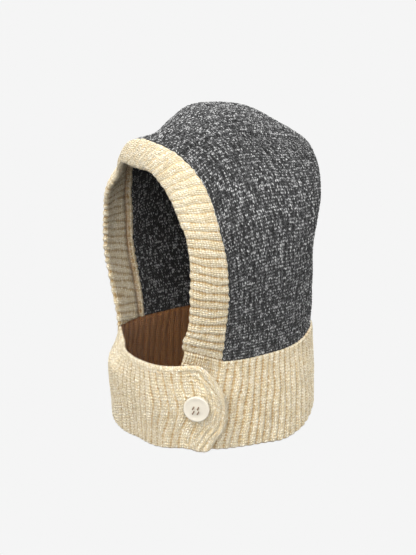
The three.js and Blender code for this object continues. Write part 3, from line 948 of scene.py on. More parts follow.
CREAM_WOOL = KnitFinish(
    name="cream rib wool knit",
    dark=linear(227, 210, 172),
    middle=linear(238, 227, 196),
    light=linear(248, 241, 221),
    # painted shade colours: grooves and hollows, then the inside
    groove=linear(176, 151, 110),
    shaded_inside=linear(176, 124, 68),
    fleck_scale=700.0,
    fleck_range=(0.42, 0.68, 1.0),
    groove_edge=0.6,
    groove_narrow=2.6,
    groove_share=0.9,
    slope_share=0.12,
    hollow_share=0.6,
    hollow_power=1.2,
    speck=0.0,
    hairs=0.2,
    bump=1.0,
    sheen=0.25,
)


@dataclass(frozen=True)
class ButtonFinish:
    """Polished off-white plastic with a faint pearly cloud."""

    name: str = "pearl white button"
    body: tuple = linear(203, 196, 181)
    cloud: tuple = linear(198, 190, 176)
    # painted shade on the walls of the four holes
    edge: tuple = linear(104, 80, 58)

    def material(self) -> bpy.types.Material:
        """Builds the material of the button."""
        made = Wiring.empty_material(self.name)
        w = Wiring(made.node_tree)
        place = w.node("ShaderNodeTexCoord").outputs["Object"]
        clouds = w.noise(place, 140.0, 3.0, 0.6)
        streak = w.noise(place, 420.0, 2.0, 0.5)
        colour = w.blend(w.span(clouds, 0.35, 0.7), self.body, self.cloud)
        w.skin(
            # the hole walls take painted shade
            colour=w.blend(w.attribute("hole_shade"), colour, self.edge),
            height=streak,
            relief=(0.12, 0.0002),
            Roughness=w.span(streak, 0.3, 0.7, (0.3, 0.42)),
            Coat_Weight=0.25,
            Coat_Roughness=0.2,
        )
        return made


@dataclass(frozen=True)
class ThreadFinish:
    """Twisted sewing thread."""

    name: str = "cream sewing thread"
    body: tuple = linear(212, 203, 186)
    shade: tuple = linear(184, 172, 150)

    def material(self) -> bpy.types.Material:
        """Builds the material of the thread."""
        made = Wiring.empty_material(self.name)
        w = Wiring(made.node_tree)
        place = w.node("ShaderNodeTexCoord").outputs["Object"]
        twist = w.node("ShaderNodeTexWave", wave_type="BANDS", bands_direction="DIAGONAL")
        w.feed(twist.inputs["Vector"], place)
        twist.inputs["Scale"].default_value = 700.0
        twist.inputs["Distortion"].default_value = 1.5
        colour = w.blend(w.span(twist.outputs["Fac"], 0.2, 0.8), self.shade, self.body)
        w.skin(colour=colour, height=twist.outputs["Fac"], relief=(0.6, 0.0002), Roughness=0.85)
        return made


@dataclass
class RibKnit:
    """Relief of the cream rib: two plump wales on each crest and purl bumps in the groove."""

    depth: float = 0.95
    leg: float = 1.1
    purl: float = 0.7
    groove_half: float = 0.13  # share of a rib on either side of the groove's middle
    slope_share: float = 0.36  # share of a rib over which its side rises to the crest

    def crest(self, rib: Array) -> Array:
        """From 0 in the groove to 1 on the crest, by rib phase."""
        r = share_of(rib)
        edge = np.minimum(r, 1 - r)
        return smooth((edge - 0.03) / self.slope_share)

    def wale_of(self, rib: Array) -> Array:
        """Stitch columns: three for each rib, of which the third is the groove's purl."""
        r = share_of(rib)
        half = self.groove_half * 0.6
        inside = np.clip((r - half) / (1 - 2 * half), 0, 1)
        return np.floor(rib) * 2 + inside * 2

    def height(self, rib: Array, course: Array, seed: int) -> Array:
        """Height of the relief in millimetres about the middle of the rib's depth."""
        crest = self.crest(rib)
        wale = self.wale_of(rib)
        legs = stitch_legs(wale, course) - 0.45
        bumps = np.abs(np.sin(np.pi * course)) - 0.6
        uneven = stitch_jitter(wale, course, seed) * 0.2
        total = (crest - 0.5) * self.depth
        return total + crest * (legs * self.leg + uneven) + (1 - crest) * bumps * self.purl


@dataclass
class HoodKnit:
    """Relief of the grey hood: one raised wale of V stitches, one sunk wale of purl bumps."""

    depth: float = 0.95
    leg: float = 0.5

    def height(self, wale: Array, course: Array, seed: int) -> Array:
        """Height of the relief in millimetres."""
        raised = 0.5 + 0.5 * np.cos(np.pi * (wale - 0.5))
        legs = stitch_legs(wale, course) - 0.45
        uneven = stitch_jitter(wale, course, seed) * 0.22
        return (raised - 0.6) * self.depth + legs * self.leg * (0.5 + 0.5 * raised) + uneven


@dataclass
class HoodPanels:
    """The grey hood: a crown panel from the forehead over the crown and down the back, and a
    side panel on each side, sewn to it along a join."""

    form: HeadForm
    neck: Neckline
    band: BandPath
    finish: bpy.types.Material
    knit: HoodKnit = field(default_factory=HoodKnit)
    band_gap: float = 0.3
    seam_gap: float = 0.15
    wale_pitch: float = 2.65
    course_pitch: float = 2.8
    join_groove: float = 1.5
    join_reach: float = 5.0
    corner: float = 127.0  # where the join turns down the back
    crown_width: float = 105.0
    front_clearance: float = 0.4  # degrees round the neck between a side panel and the band
    FRONT_OVER, BACK_OVER = 61.0, 215.0  # about where a join leaves the band and meets the collar
    # angle over the head from the front, half width of the crown panel
    PANEL = (
        (40, 47), (61, 47), (75, 50), (90, 54), (100, 57), (111, 55), (120, 50), (128, 45),
        (150, 44), (180, 46), (222, 50),
    )

    def __post_init__(self) -> None:
        """Prepares the width curve and the edges that the panels share."""
        (self.half_width,) = curves_of(self.PANEL)
        self.edge_runs = np.linspace(-1, 1, 1601)
        self.edge = self.band.rear(self.edge_runs, self.band_gap)
        angles = np.linspace(100, 260, 1201)
        self.back_seam = self.form.bare(angles, self.neck.seam(angles) + self.seam_gap)

    def over(self, p: Array) -> Array:
        """Angle over the head of a point, from the front by the crown to the back."""
        angle = np.degrees(np.arctan2(p[..., 2] - HEAD_CENTRE_HEIGHT, -p[..., 1]))
        return np.where(angle < -60, angle + 360, angle)

    def cross(self, x: Array, over: Array) -> Array:
        """Points of the form at a distance from the middle plane and an angle over the head."""
        a = np.radians(over)
        origin = np.stack([x, np.zeros_like(x), np.full_like(x, HEAD_CENTRE_HEIGHT)], axis=-1)
        direction = np.stack([np.zeros_like(a), -np.cos(a), np.sin(a)], axis=-1)
        return self.form.along(origin, direction)

    def front_over(self, x: Array) -> Array:
        """Angle over the head at which the crown panel starts behind the band."""
        top = np.abs(self.edge_runs) < 0.6
        return np.interp(x, self.edge[top][:, 0], self.over(self.edge[top]))

    def back_over(self, x: Array) -> Array:
        """Angle over the head at which the crown panel meets the collar."""
        order = np.argsort(self.back_seam[:, 0])
        return np.interp(x, self.back_seam[order, 0], self.over(self.back_seam)[order])

    def crossing(self, side: Side, over: float, edge_over: Callable) -> float:
        """Angle over the head at which the join crosses an edge, from a first guess."""
        for _ in range(8):
            over = float(edge_over(side.value * self.half_width(over)))
        return over

    def join_start(self, side: Side) -> float:
        """Angle over the head at which the join leaves the band."""
        return self.crossing(side, self.FRONT_OVER, self.front_over)

    def join_end(self, side: Side) -> float:
        """Angle over the head at which the join meets the collar."""
        return self.crossing(side, self.BACK_OVER, self.back_over)

    def join(self, side: Side, over: Array) -> Array:
        """Points of the join line."""
        return self.cross(side.value * self.half_width(over), over)

    @staticmethod
    def even(points: Array, count: int) -> Array:
        """Points spaced evenly by length along a fine line."""
        length = length_along(points)
        goal = np.linspace(0, length[-1], count)
        return np.stack([np.interp(goal, length, points[:, k]) for k in range(3)], axis=-1)

    def dressed(
        self, base: Array, wale: Array, course: Array, near_join: Array, seed: int
    ) -> Lattice:
        """Puts the knit's relief on a layer of the form.

        Args:
            base: Points of the bare form.
            wale: Stitch columns.
            course: Stitch rows.
            near_join: Distance from the nearest join, in millimetres.
            seed: Picks the unevenness.

        Returns:
            The outer and inner layers.
        """
        fade = 1 - 0.75 * smooth((self.over(base) - 72) / 26)
        groove = self.join_groove * fade * (1 - smooth(near_join / self.join_reach)) ** 1.5
        slack = 0.35 * wave_noise(base[..., 1] / 34, base[..., 2] / 30 + base[..., 0] / 40, seed)
        relief = self.knit.height(wale, course, seed)
        back = self.knit.height(wale + 1, course, seed + 1) * 0.6
        sunk = np.clip(groove / self.join_groove, 0, 1)
        # painted shade where the stitches lie low and along the joins' groove; the whole inside is
        # shaded
        level = np.clip((relief + 0.9) / 1.6, 0, 1) * (1 - 0.75 * sunk)
        outer_offset = relief - groove + slack
        inner_offset = -HOOD_WALL - back - groove * 0.2 + slack
        return Lattice(
            **self.form.layers(base, outer_offset, inner_offset),
            wale=wale,
            course=course,
            relief=level,
            inner_relief=np.clip(0.5 + back, 0, 1),
            shaded_inside=np.ones(wale.shape),
            inner_step=(3, 4),
        )

    def crown_panel(self) -> bpy.types.Object:
        """Models the panel over the crown and down the back."""
        columns = 2 * round(self.crown_width / self.wale_pitch / 2)
        wales = np.linspace(0, columns, columns * 4 + 1)
        middle = np.linspace(self.front_over(0.0), self.back_over(0.0), 400)
        guess = self.cross(np.zeros(400), middle)
        courses = round(float(length_along(guess)[-1]) / self.course_pitch)
        rows = courses * 3
        middle_over = self.over(self.even(guess, rows + 1))
        start, end = middle_over[0], middle_over[-1]
        even_share = (middle_over - start) / (end - start)
        grid = np.empty((rows + 1, len(wales), 3))
        for k, across in enumerate(np.linspace(-1, 1, len(wales))):
            low = self.join_start(Side.NEAR if across > 0 else Side.FAR)
            first = float(self.front_over(across * float(self.half_width(low))))
            last = float(self.back_over(across * float(self.half_width(self.BACK_OVER))))
            over = mix(first, last, even_share)
            grid[:, k] = self.cross(across * self.half_width(over), over)
        wale = np.broadcast_to(wales, grid.shape[:2])
        course = np.broadcast_to(np.linspace(0, courses, rows + 1)[:, None], grid.shape[:2])
        near_join = np.minimum(wale, columns - wale) * self.wale_pitch
        lattice = self.dressed(grid, wale, course, near_join, 11)
        return Workbench.knitted_wall("hood_crown_panel", lattice)

    def side_panel(self, side: Side) -> bpy.types.Object:
        """Models the panel on one side of the head."""
        start, end = self.join_start(side), self.join_end(side)
        top = self.join(side, np.linspace(start, self.corner, 500))
        back = self.join(side, np.linspace(end, self.corner, 500))
        first_angle = abs(float(self.band.place(np.array(side.value * 1.0), np.array(1.0))[0]))
        last = back[0]
        last_angle = float(np.degrees(np.arctan2(abs(last[0]), -last[1])))
        first_angle += self.front_clearance
        angles = side.value * np.linspace(first_angle, last_angle, 500)
        bottom = self.form.bare(angles, self.neck.seam(angles) + self.seam_gap)
        near = np.interp(start, *self.rising(self.over(self.edge), self.edge_runs, side))
        front = self.band.rear(np.linspace(side.value, near, 500), self.band_gap)
        front[0] = bottom[0]
        bottom[-1] = last
        top[0] = front[-1]
        columns = 2 * round(float(length_along(bottom)[-1]) / self.wale_pitch / 2)
        courses = round(float(length_along(front)[-1]) / self.course_pitch)
        m, n = columns * 4 + 1, courses * 3 + 1
        bottom, top = self.even(bottom, m), self.even(top, m)
        front, back = self.even(front, n), self.even(back, n)
        a = np.linspace(0, 1, m)[None, :, None]
        b = np.linspace(0, 1, n)[:, None, None]
        rule_b = (1 - b) * bottom[None] + b * top[None]
        rule_a = (1 - a) * front[:, None] + a * back[:, None]
        corner = (1 - a) * (1 - b) * bottom[0] + a * (1 - b) * bottom[-1]
        corner = corner + (1 - a) * b * top[0] + a * b * top[-1]
        patch = rule_a + rule_b - corner
        origin = np.broadcast_to(self.form.centre, patch.shape)
        grid = self.form.along(origin, unit(patch - origin))
        wale = np.broadcast_to(np.linspace(0, columns, m), grid.shape[:2])
        course = np.broadcast_to(np.linspace(0, courses, n)[:, None], grid.shape[:2])
        to_top = (courses - course) * self.course_pitch
        to_back = (columns - wale) * self.wale_pitch
        seed = 21 if side is Side.NEAR else 31
        lattice = self.dressed(grid, wale, course, np.minimum(to_top, to_back), seed)
        return Workbench.knitted_wall(f"hood_side_{side.name.lower()}", lattice)

    @staticmethod
    def rising(over: Array, runs: Array, side: Side) -> tuple[Array, Array]:
        """The band's runs of one side as a function of the rising angle over the head."""
        keep = (runs * side.value > 0.02) & (runs * side.value < 0.7)
        order = np.argsort(over[keep])
        return over[keep][order], runs[keep][order]

    def build(self) -> None:
        """Models and dresses the three panels."""
        for made in (self.crown_panel(), self.side_panel(Side.NEAR), self.side_panel(Side.FAR)):
            Workbench.settle(made, "hood_shell", "grey_marl_knit", self.finish)


@dataclass
class FaceTrim:
    """The padded ribbed band round the face, its ribs running across it."""

    form: HeadForm
    band: BandPath
    finish: bpy.types.Material
    knit: RibKnit = field(default_factory=RibKnit)
    wall: float = 7.0
    nose: float = -0.075
    rear: float = 0.999
    width: float = 38.0
    courses: int = 14
    columns_per_rib: int = 14
    # run, how many ribs a rib leans toward the end across the band, strength of the ribs
    LEAN = (
        (-1.0, -0.6, 1.0), (-0.85, -1.6, 1.0), (-0.42, -1.6, 0.75), (-0.25, -0.4, 0.5),
        (-0.1, 1.2, 0.42), (0.1, 2.1, 0.42), (0.42, 2.3, 0.5), (0.66, 1.3, 0.75),
        (0.86, 0.3, 1.0), (1.0, 0.0, 1.0),
    )
    # share across, outward share of the wall, inward share of the wall
    SECTION = (
        (-0.075, 0.16, -0.44), (0.04, 0.3, -0.55), (0.28, 0.39, -0.62), (0.72, 0.39, -0.61),
        (0.9, 0.33, -0.56), (1.0, 0.23, -0.52),
    )

    def build(self) -> None:
        """Models and dresses the band."""
        out_of, in_of = curves_of(self.SECTION, self.wall, self.wall)
        lean, strength_of = curves_of(self.LEAN)
        _, length = self.band.even_runs(3)
        ribs = round(length / RIB_PITCH)
        runs, _ = self.band.even_runs(ribs * self.columns_per_rib + 1)
        rib = np.linspace(0, ribs, len(runs))
        across = np.linspace(self.nose, self.rear, self.courses * 4 + 1)
        run, w = np.meshgrid(runs, across)
        rib_grid = np.broadcast_to(rib, run.shape)
        sway = 0.10 * wave_noise(rib_grid / 3.1, w * 1.3, 41)
        course = (w - self.nose) * self.courses / (self.rear - self.nose)
        strength = strength_of(run)
        phase = rib_grid + held_at_ends(sway, rib_grid, ribs) - lean(run) * (w - 0.5)
        relief = self.knit.height(phase, course, 42) * (0.35 + 0.5 * strength)
        inside = self.knit.height(phase, course, 43) * 0.8
        # weaker ribs also take less painted groove shade
        crest = mix(1.0, self.knit.crest(phase), strength)
        to_front, to_rear = (w - self.nose) * self.width, (self.rear - w) * self.width
        left = rounded(to_front, 4.6, 0.3) * rounded(to_rear, 2.4, 0.45)
        left = left * mix(0.2, 1.0, smooth((1 - run) / 0.06))
        out, inn = out_of(w), in_of(w)
        middle, half = (out + inn) / 2, (out - inn) / 2
        calm = 1 - 0.6 * smooth((w - 0.95) / 0.05)
        channel = np.exp(-(((w - 0.79) / 0.075) ** 2))
        seam_strip = smooth((w - 0.85) / 0.06)
        bumps = stitch_legs(phase * 2.6, w * 13) - 0.5
        ragged = 0.5 * wave_noise(phase * 1.7, w * 4, 44)
        outer_offset = middle + half * left + relief * calm * left
        pile = 1.9 * channel - 0.9 * seam_strip - seam_strip * 0.5 * (bumps + ragged)
        inside = inside * 0.8 * (1 - 0.7 * seam_strip)
        inner_offset = middle - half * left - inside * left + pile * left
        # the crests stand a little past both edges
        edge = 0.022 * (crest - 0.6) + 0.008 * wave_noise(phase * 1.3, w * 0, 45)
        past = w + edge * smooth((w - 0.86) / 0.14) - edge * (1 - smooth((w - self.nose) / 0.16))
        past = past + 0.06 * smooth((run - 0.95) / 0.05) * (1 - smooth((w - self.nose) / 0.5))
        base = self.form.bare(*self.band.place(run, past))
        # painted shade on the inside: deeper along the channel, in bumps on the seam strip
        inner_crest = mix(crest * (1 - 0.75 * channel), 0.55 + 0.45 * bumps, seam_strip)
        lattice = Lattice(
            **self.form.layers(base, outer_offset, inner_offset),
            wale=self.knit.wale_of(phase),
            course=course,
            relief=np.clip(crest, 0, 1),
            inner_relief=np.clip(inner_crest, 0, 1),
            shaded_inside=0.45 * channel * (1 - seam_strip),
            inner_step=(2, 2),
        )
        made = Workbench.knitted_wall("face_band", lattice)
        Workbench.settle(made, "face_trim", "cream_rib_knit", self.finish)


@dataclass
class Collar:
    """The ribbed collar, from its underlap on the near side round the back to the far side."""

    form: HeadForm
    neck: Neckline
    finish: bpy.types.Material
    knit: RibKnit = field(default_factory=RibKnit)
    start: float = 37.0
    end: float = 311.0
    proud: float = 1.6
    wall: float = 5.0
    columns_per_rib: int = 12
    courses: int = 31

    def build(self) -> None:
        """Models and dresses the collar."""
        length = math.radians(self.end - self.start) * NECK_RADIUS
        ribs = round(length / RIB_PITCH)
        rib = np.linspace(0, ribs, ribs * self.columns_per_rib + 1)
        share = np.linspace(0, 1, self.courses * 3 + 1)
        rib_grid, s = np.meshgrid(rib, share)
        corner = 2.6 * smooth((s - 0.7) / 0.3) + 1.0
        angle = mix(self.start, self.end, rib_grid / ribs)
        angle = angle + corner * (1 - smooth((angle - self.start) / 16))
        crest_wave = 0.5 - 0.5 * np.cos(2 * np.pi * rib_grid)
        lean = 9 * (1 - smooth((angle - 74) / 60)) * smooth((angle - self.start) / 12)
        top = self.neck.seam(angle + lean / 2) - 0.1
        bottom = self.neck.hem(angle - lean / 2) - 0.5 * (crest_wave - 0.3)
        z = mix(bottom, top, s)
        height = top - bottom
        sway = 0.09 * wave_noise(rib_grid / 2.7, s * 2.2, 51)
        phase = rib_grid + held_at_ends(sway, rib_grid, ribs)
        course = s * self.courses
        relief = self.knit.height(phase, course, 52)
        crest = self.knit.crest(phase)
        inside = self.knit.height(phase, course, 53)
        # the underlap by the band is worked in small bumps
        bumpy = smooth((s - 0.74) / 0.1) * (1 - smooth((angle - 50) / 9))
        bumps = stitch_legs(rib_grid * 2.0, s * 24) - 0.5
        relief = mix(relief, 1.6 * bumps, bumpy)
        crest = mix(crest, 0.5 + 0.9 * bumps, bumpy)
        left = rounded(s * height, 3.0, 0.3) * rounded((1 - s) * height, 2.0, 0.5)
        left = left * rounded(rib_grid * RIB_PITCH, 3.0, 0.3)
        left = left * rounded((ribs - rib_grid) * RIB_PITCH, 2.0, 0.6)
        middle, half = self.proud - self.wall / 2, self.wall / 2
        slack = 0.3 * wave_noise(angle / 16, s * 2, 54)
        outer_offset = middle + half * left + relief * left + slack
        inner_offset = middle - half * left - inside * 0.55 * left + slack
        base = self.form.bare(angle + lean * (s - 0.5), z)
        # painted shade along the hem, fading out a little way up; the whole inside is shaded
        clear_of_hem_shade = smooth(s * height / HEM_SHADE_REACH)
        # the grooves' painted shade is eased, most round the side at about 115 degrees
        calm = mix(0.1, 0.42, smooth((angle - 78) / 40) * (1 - smooth((angle - 112) / 36)))
        lattice = Lattice(
            **self.form.layers(base, outer_offset, inner_offset),
            wale=self.knit.wale_of(phase),
            course=course,
            relief=np.clip(mix(crest, 1.0, calm) * clear_of_hem_shade, 0, 1),
            inner_relief=self.knit.crest(phase) * clear_of_hem_shade,
            shaded_inside=np.ones(s.shape),
            inner_step=(3, 2),
        )
        made = Workbench.knitted_wall("collar", lattice)
        Workbench.settle(made, "neck_collar", "cream_rib_knit", self.finish)


@dataclass
class Flap:
    """The flap across the throat, with its rounded tab and rolled border."""

    form: HeadForm
    finish: bpy.types.Material
    knit: RibKnit = field(default_factory=RibKnit)
    start: float = -48.81
    wall: float = 5.0
    proud: float = 1.6
    lap_clearance: float = 0.6
    columns_per_rib: int = 14
    ribs: int = 24
    courses: int = 29
    border: float = 6.2
    round_from: float = 54.5  # angle beyond which the tab's bottom edge is bordered too
    # angle, top, bottom, inward lean at the top
    OUTLINE = (
        (-49, 0.228, -0.05, 2), (-40, 0.221, -0.056, 9), (-30, 0.211, -0.06, 13),
        (-15, 0.214, -0.062, 9), (-2, 0.222, -0.058, 3), (8, 0.226, -0.05, 0),
        (23, 0.235, -0.043, 0), (33, 0.242, -0.036, 0), (42, 0.25, -0.029, 0),
        (45, 0.253, -0.031, 0), (49, 0.252, -0.038, 0), (51.8, 0.24, -0.04, 0),
        (54.5, 0.22, -0.036, 0), (56.5, 0.206, -0.021, 0), (58, 0.194, -0.003, 0),
        (60, 0.173, 0.013, 0), (61.8, 0.155, 0.026, 0), (63.2, 0.134, 0.04, 0),
        (63.9, 0.119, 0.056, 0), (64.2, 0.1, 0.074, 0),
    )

    def __post_init__(self) -> None:
        """Makes the curves of the outline, with a rounded tab."""
        top, bottom, self.lean = curves_of(self.OUTLINE, CROWN_HEIGHT, CROWN_HEIGHT, 1.0)
        self.top_line, self.bottom_line = softened(top, 1.8), softened(bottom, 1.6)
        self.last = float(self.OUTLINE[-1][0])

    def edges(self, angle: Array) -> tuple[Array, Array]:
        """Levels of the flap's bottom and top edge."""
        return self.bottom_line(angle), self.top_line(angle)

    def offset(self, angle: Array) -> Array:
        """Offset of the middle of the flap, out over the collar on the near side."""
        flush = self.proud - self.wall / 2
        lapped = self.proud + RIB_DEPTH * 0.7 + self.lap_clearance + self.wall / 2
        return mix(flush, lapped, smooth((np.asarray(angle) - 5) / 27))

    def edge_distance(self, arc: Array, z: Array) -> Array:
        """Distance in millimetres from the top, the rounded end or the bottom edge.

        Args:
            arc: Distance round the neck from the front.
            z: Level.

        Returns:
            The least distance from the border line of the tab.
        """
        angles = self.last - (self.last - 20) * np.linspace(1, 0, 110) ** 1.5
        reach = NECK_RADIUS * np.radians(angles)
        bottom, top = self.edges(angles)
        low = angles > self.round_from
        line = [np.stack([reach, top], -1), np.stack([reach[low], bottom[low]], -1)]
        line.append(np.stack([np.full(5, reach[-1]), np.linspace(bottom[-1], top[-1], 5)], -1))
        edge = np.concatenate(line)
        least = np.full(arc.shape, 1e9)
        for x, y in edge:
            least = np.minimum(least, np.hypot(arc - x, z - y))
        return least

    def build(self) -> None:
        """Models and dresses the flap."""
        last_rib = self.ribs + 1
        rib = np.linspace(0, last_rib, last_rib * self.columns_per_rib + 1)
        closer = last_rib - 2 * ((last_rib - rib).clip(0) / 2) ** 1.9
        rib = np.where(rib > last_rib - 2, closer, rib)
        share = np.linspace(0, 1, self.courses * 3 + 1)
        rib_grid, s = np.meshgrid(rib, share)
        angle = mix(self.start, self.last, rib_grid / last_rib)
        bottom, top = self.edges(angle)
        top = top - 0.2
        crest_wave = 0.5 - 0.5 * np.cos(2 * np.pi * rib_grid)
        bottom = bottom - 0.5 * crest_wave * (1 - smooth((angle - 46) / 8))
        z = mix(bottom, top, s)
        height = top - bottom
        arc = NECK_RADIUS * np.radians(angle)
        from_edge = self.edge_distance(arc, z)
        from_top = (1 - s) * height
        on_tab = smooth((angle - 34) / 14)
        beside = smooth((angle - 8) / 26)
        pull = -1.0 * beside * np.exp(-(((z - 33) / 27) ** 2)) + 0.5 * beside
        sway = 0.12 * wave_noise(rib_grid / 2.9, s * 2.0, 61)
        phase = rib_grid + sway + pull
        ring = (from_edge - self.border) / 5.2
        ring_share = smooth((angle - 43) / 8) * (1 - smooth((from_edge - 15) / 7))
        course = s * self.courses
        ribs = self.knit.height(phase, course, 62)
        crest = self.knit.crest(phase)
        ring_crest = 0.5 + 0.5 * np.cos(2 * np.pi * (ring - 0.5))
        ring_height = (ring_crest - 0.5) * RIB_DEPTH * 0.75
        relief = mix(ribs, ring_height, ring_share)
        crest = mix(crest, 0.35 + 0.65 * ring_crest, ring_share)
        edge_band = np.minimum(from_top, np.where(on_tab > 0.3, from_edge, 1e9))
        rolled = 1 - smooth((edge_band - self.border + 1.5) / 3.0)
        rolled = rolled * mix(0.25, 0.8, smooth((angle + 5) / 30))
        roll_height = 0.6 * np.sqrt(np.clip(1 - ((edge_band - 3.2) / 3.6) ** 2, 0, 1)) - 0.1
        roll_height = roll_height + 0.25 * (stitch_legs(rib_grid * 2.4, course) - 0.5)
        relief = mix(relief, roll_height, rolled)
        # a sunk line inside the border, with painted shade along it
        line = np.exp(-(((edge_band - self.border) / 1.1) ** 2))
        line = line * smooth((angle - 32) / 10)
        relief = relief - 0.35 * line
        crest = np.clip(mix(crest, 0.95, rolled) - 0.45 * line, 0, 1)
        woolly = (1 - smooth((angle + 26) / 14)) * smooth((s - 0.55) / 0.3)
        relief = mix(relief, 0.4 * (stitch_legs(rib_grid * 2.4, course) - 0.5), 0.7 * woolly)
        crest = mix(crest, 0.95, 0.8 * woolly)
        straight = np.minimum(s, 1 - s) * height
        left = rounded(np.where(angle > 26, np.minimum(straight, from_edge), straight), 3.0, 0.3)
        left = left * rounded(rib_grid * RIB_PITCH, 2.0, 0.6)
        inside = self.knit.height(rib_grid, course, 63)
        inward = self.lean(angle) * smooth((s - 0.72) / 0.3)
        middle = self.offset(angle) - inward
        half = self.wall / 2
        outer_offset = middle + half * left + relief * left
        inner_offset = middle - half * left - inside * 0.3 * left
        base = self.form.bare(angle, z)
        lattice = Lattice(
            **self.form.layers(base, outer_offset, inner_offset),
            wale=self.knit.wale_of(phase),
            course=course,
            # painted shade in the grooves and along the hem; most of the inside is shaded
            relief=mix(crest, 1.0, 0.35) * smooth(s * height / HEM_SHADE_REACH),
            inner_relief=self.knit.crest(rib_grid),
            shaded_inside=np.full(s.shape, 0.7),
            inner_step=(3, 2),
        )
        made = Workbench.knitted_wall("flap", lattice)
        Workbench.settle(made, "front_flap", "cream_rib_knit", self.finish)


@dataclass
class ButtonAndThread:
    """The four-hole button and the thread that holds it on the tab."""

    form: HeadForm
    flap: Flap
    button_finish: bpy.types.Material
    thread_finish: bpy.types.Material
    diameter: float = 25.0
    thickness: float = 3.4
    standoff: float = 1.7
    hole_spacing: float = 4.6
    hole_diameter: float = 1.35
    angle: float = 48.5
    level: float = 0.117 * CROWN_HEIGHT
    # inset of each ring from the rim, height of the ring, as shares of radius and thickness
    FACE = ((0.05, 0.99), (0.12, 1.0), (0.2, 0.96), (0.27, 0.9), (0.36, 0.87), (0.55, 0.86))
    turn: float = 10.0  # degrees that the button faces forward of the tab

    def seat(self) -> Matrix:
        """The button's place: Z out of the tab, Y upright."""
        base = self.form.bare(self.angle, self.level)
        axis = self.form.normal(base)
        out = Matrix.Rotation(-math.radians(self.turn), 3, "Z") @ Vector(axis)
        offset = self.flap.offset(self.angle) + self.flap.wall / 2 + RIB_DEPTH / 2 + self.standoff
        spot = Vector(Workbench.to_row_frame(base + axis * offset)[0])
        upright = (Vector((0, 0, 1)) - out * out.z).normalized()
        across = upright.cross(out)
        turned = Matrix((across, upright, out)).transposed().to_4x4()
        return Matrix.Translation(spot) @ turned

    def holes(self) -> list[tuple[float, float]]:
        """Centres of the four holes."""
        half = self.hole_spacing / 2
        return [(x * half, y * half) for x in (-1, 1) for y in (-1, 1)]

    def disc(self) -> bpy.types.Object:
        """Models the button lying flat, in millimetres."""
        Workbench.clear_selection()
        bpy.ops.mesh.primitive_cylinder_add(
            vertices=96, radius=self.diameter / 2, depth=self.thickness, end_fill_type="NGON"
        )
        made = bpy.context.object
        made.name = made.data.name = "button_disc"
        bpy.ops.object.mode_set(mode="EDIT")
        bpy.ops.mesh.select_all(action="DESELECT")
        bpy.ops.object.mode_set(mode="OBJECT")
        for face in made.data.polygons:
            face.select = face.normal.z > 0.9
        bpy.ops.object.mode_set(mode="EDIT")
        radius = self.diameter / 2
        before = (0.0, 1.0)
        for inset, height in self.FACE:
            bpy.ops.mesh.inset(thickness=(inset - before[0]) * radius)
            lift = (height - before[1]) * self.thickness
            bpy.ops.transform.translate(value=(0, 0, lift))
            before = (inset, height)
        bpy.ops.mesh.select_all(action="DESELECT")
        bpy.ops.object.mode_set(mode="OBJECT")
        for edge in made.data.edges:
            ends = [made.data.vertices[i].co for i in edge.vertices]
            on_rim = all(math.hypot(p.x, p.y) > radius * 0.999 for p in ends)
            edge.select = on_rim and abs(ends[0].z - ends[1].z) < 0.01
        bpy.ops.object.mode_set(mode="EDIT")
        bpy.ops.mesh.bevel(offset=0.95, segments=5, profile=0.55)
        bpy.ops.object.mode_set(mode="OBJECT")
        for x, y in self.holes():
            self.drill(made, x, y)
        return made

    def drill(self, made: bpy.types.Object, x: float, y: float) -> None:
        """Cuts one hole through the disc."""
        Workbench.clear_selection()
        bpy.ops.mesh.primitive_cylinder_add(
            vertices=28, radius=self.hole_diameter / 2, depth=self.thickness * 4, location=(x, y, 0)
        )
        bit = bpy.context.object
        bpy.ops.object.transform_apply(location=True, rotation=True, scale=True)
        Workbench.pick(made)
        cut = made.modifiers.new("hole", "BOOLEAN")
        cut.operation = "DIFFERENCE"
        cut.object = bit
        cut.solver = "EXACT"
        bpy.ops.object.modifier_apply(modifier="hole")
        bpy.data.objects.remove(bit)

    def strand(self, name: str, path: list[tuple], radius: float) -> bpy.types.Object:
        """Models one length of thread along a path in millimetres."""
        Workbench.clear_selection()
        bpy.ops.curve.primitive_nurbs_path_add()
        made = bpy.context.object
        made.name = name
        line = made.data
        line.splines.clear()
        spline = line.splines.new("NURBS")
        spline.points.add(len(path) - 1)
        for point, place in zip(spline.points, path):
            point.co = (*place, 1.0)
        spline.use_endpoint_u = True
        spline.order_u = 3
        line.bevel_depth = radius
        line.bevel_resolution = 3
        line.resolution_u = 6
        line.use_fill_caps = True
        bpy.ops.object.convert(target="MESH")
        return bpy.context.object

    def stitches(self) -> bpy.types.Object:
        """Models the thread: a wound shank and a stitch through each pair of holes."""
        half = self.hole_spacing / 2
        low = -self.thickness / 2 - 0.6
        high = -self.thickness / 2 + self.thickness * 0.86
        made = []
        inner = half * 0.6
        # how far out, how far along and how high one side of a stitch runs
        rise = [
            (0.5, 0.6, low - 3.0), (0.85, 1.0, low),
            (0.85, 1.0, high - 0.4), (0.85, 0.86, high + 0.02),
        ]
        for k, x in enumerate((-half, half)):
            path = [(x * out, -inner * along, z) for out, along, z in rise]
            path.append((x * 0.85, 0.0, high + 0.06))
            path += [(x * out, inner * along, z) for out, along, z in reversed(rise)]
            made.append(self.strand(f"stitch_{k}", path, 0.22))
        turns = []
        for k in range(66):
            a = 2 * math.pi * k / 11
            turns.append((1.05 * math.cos(a), 1.05 * math.sin(a), low - 0.5 - 4.4 * k / 65))
        made.append(self.strand("shank", turns, 0.4))
        return Workbench.merged(made, "sewing_thread")

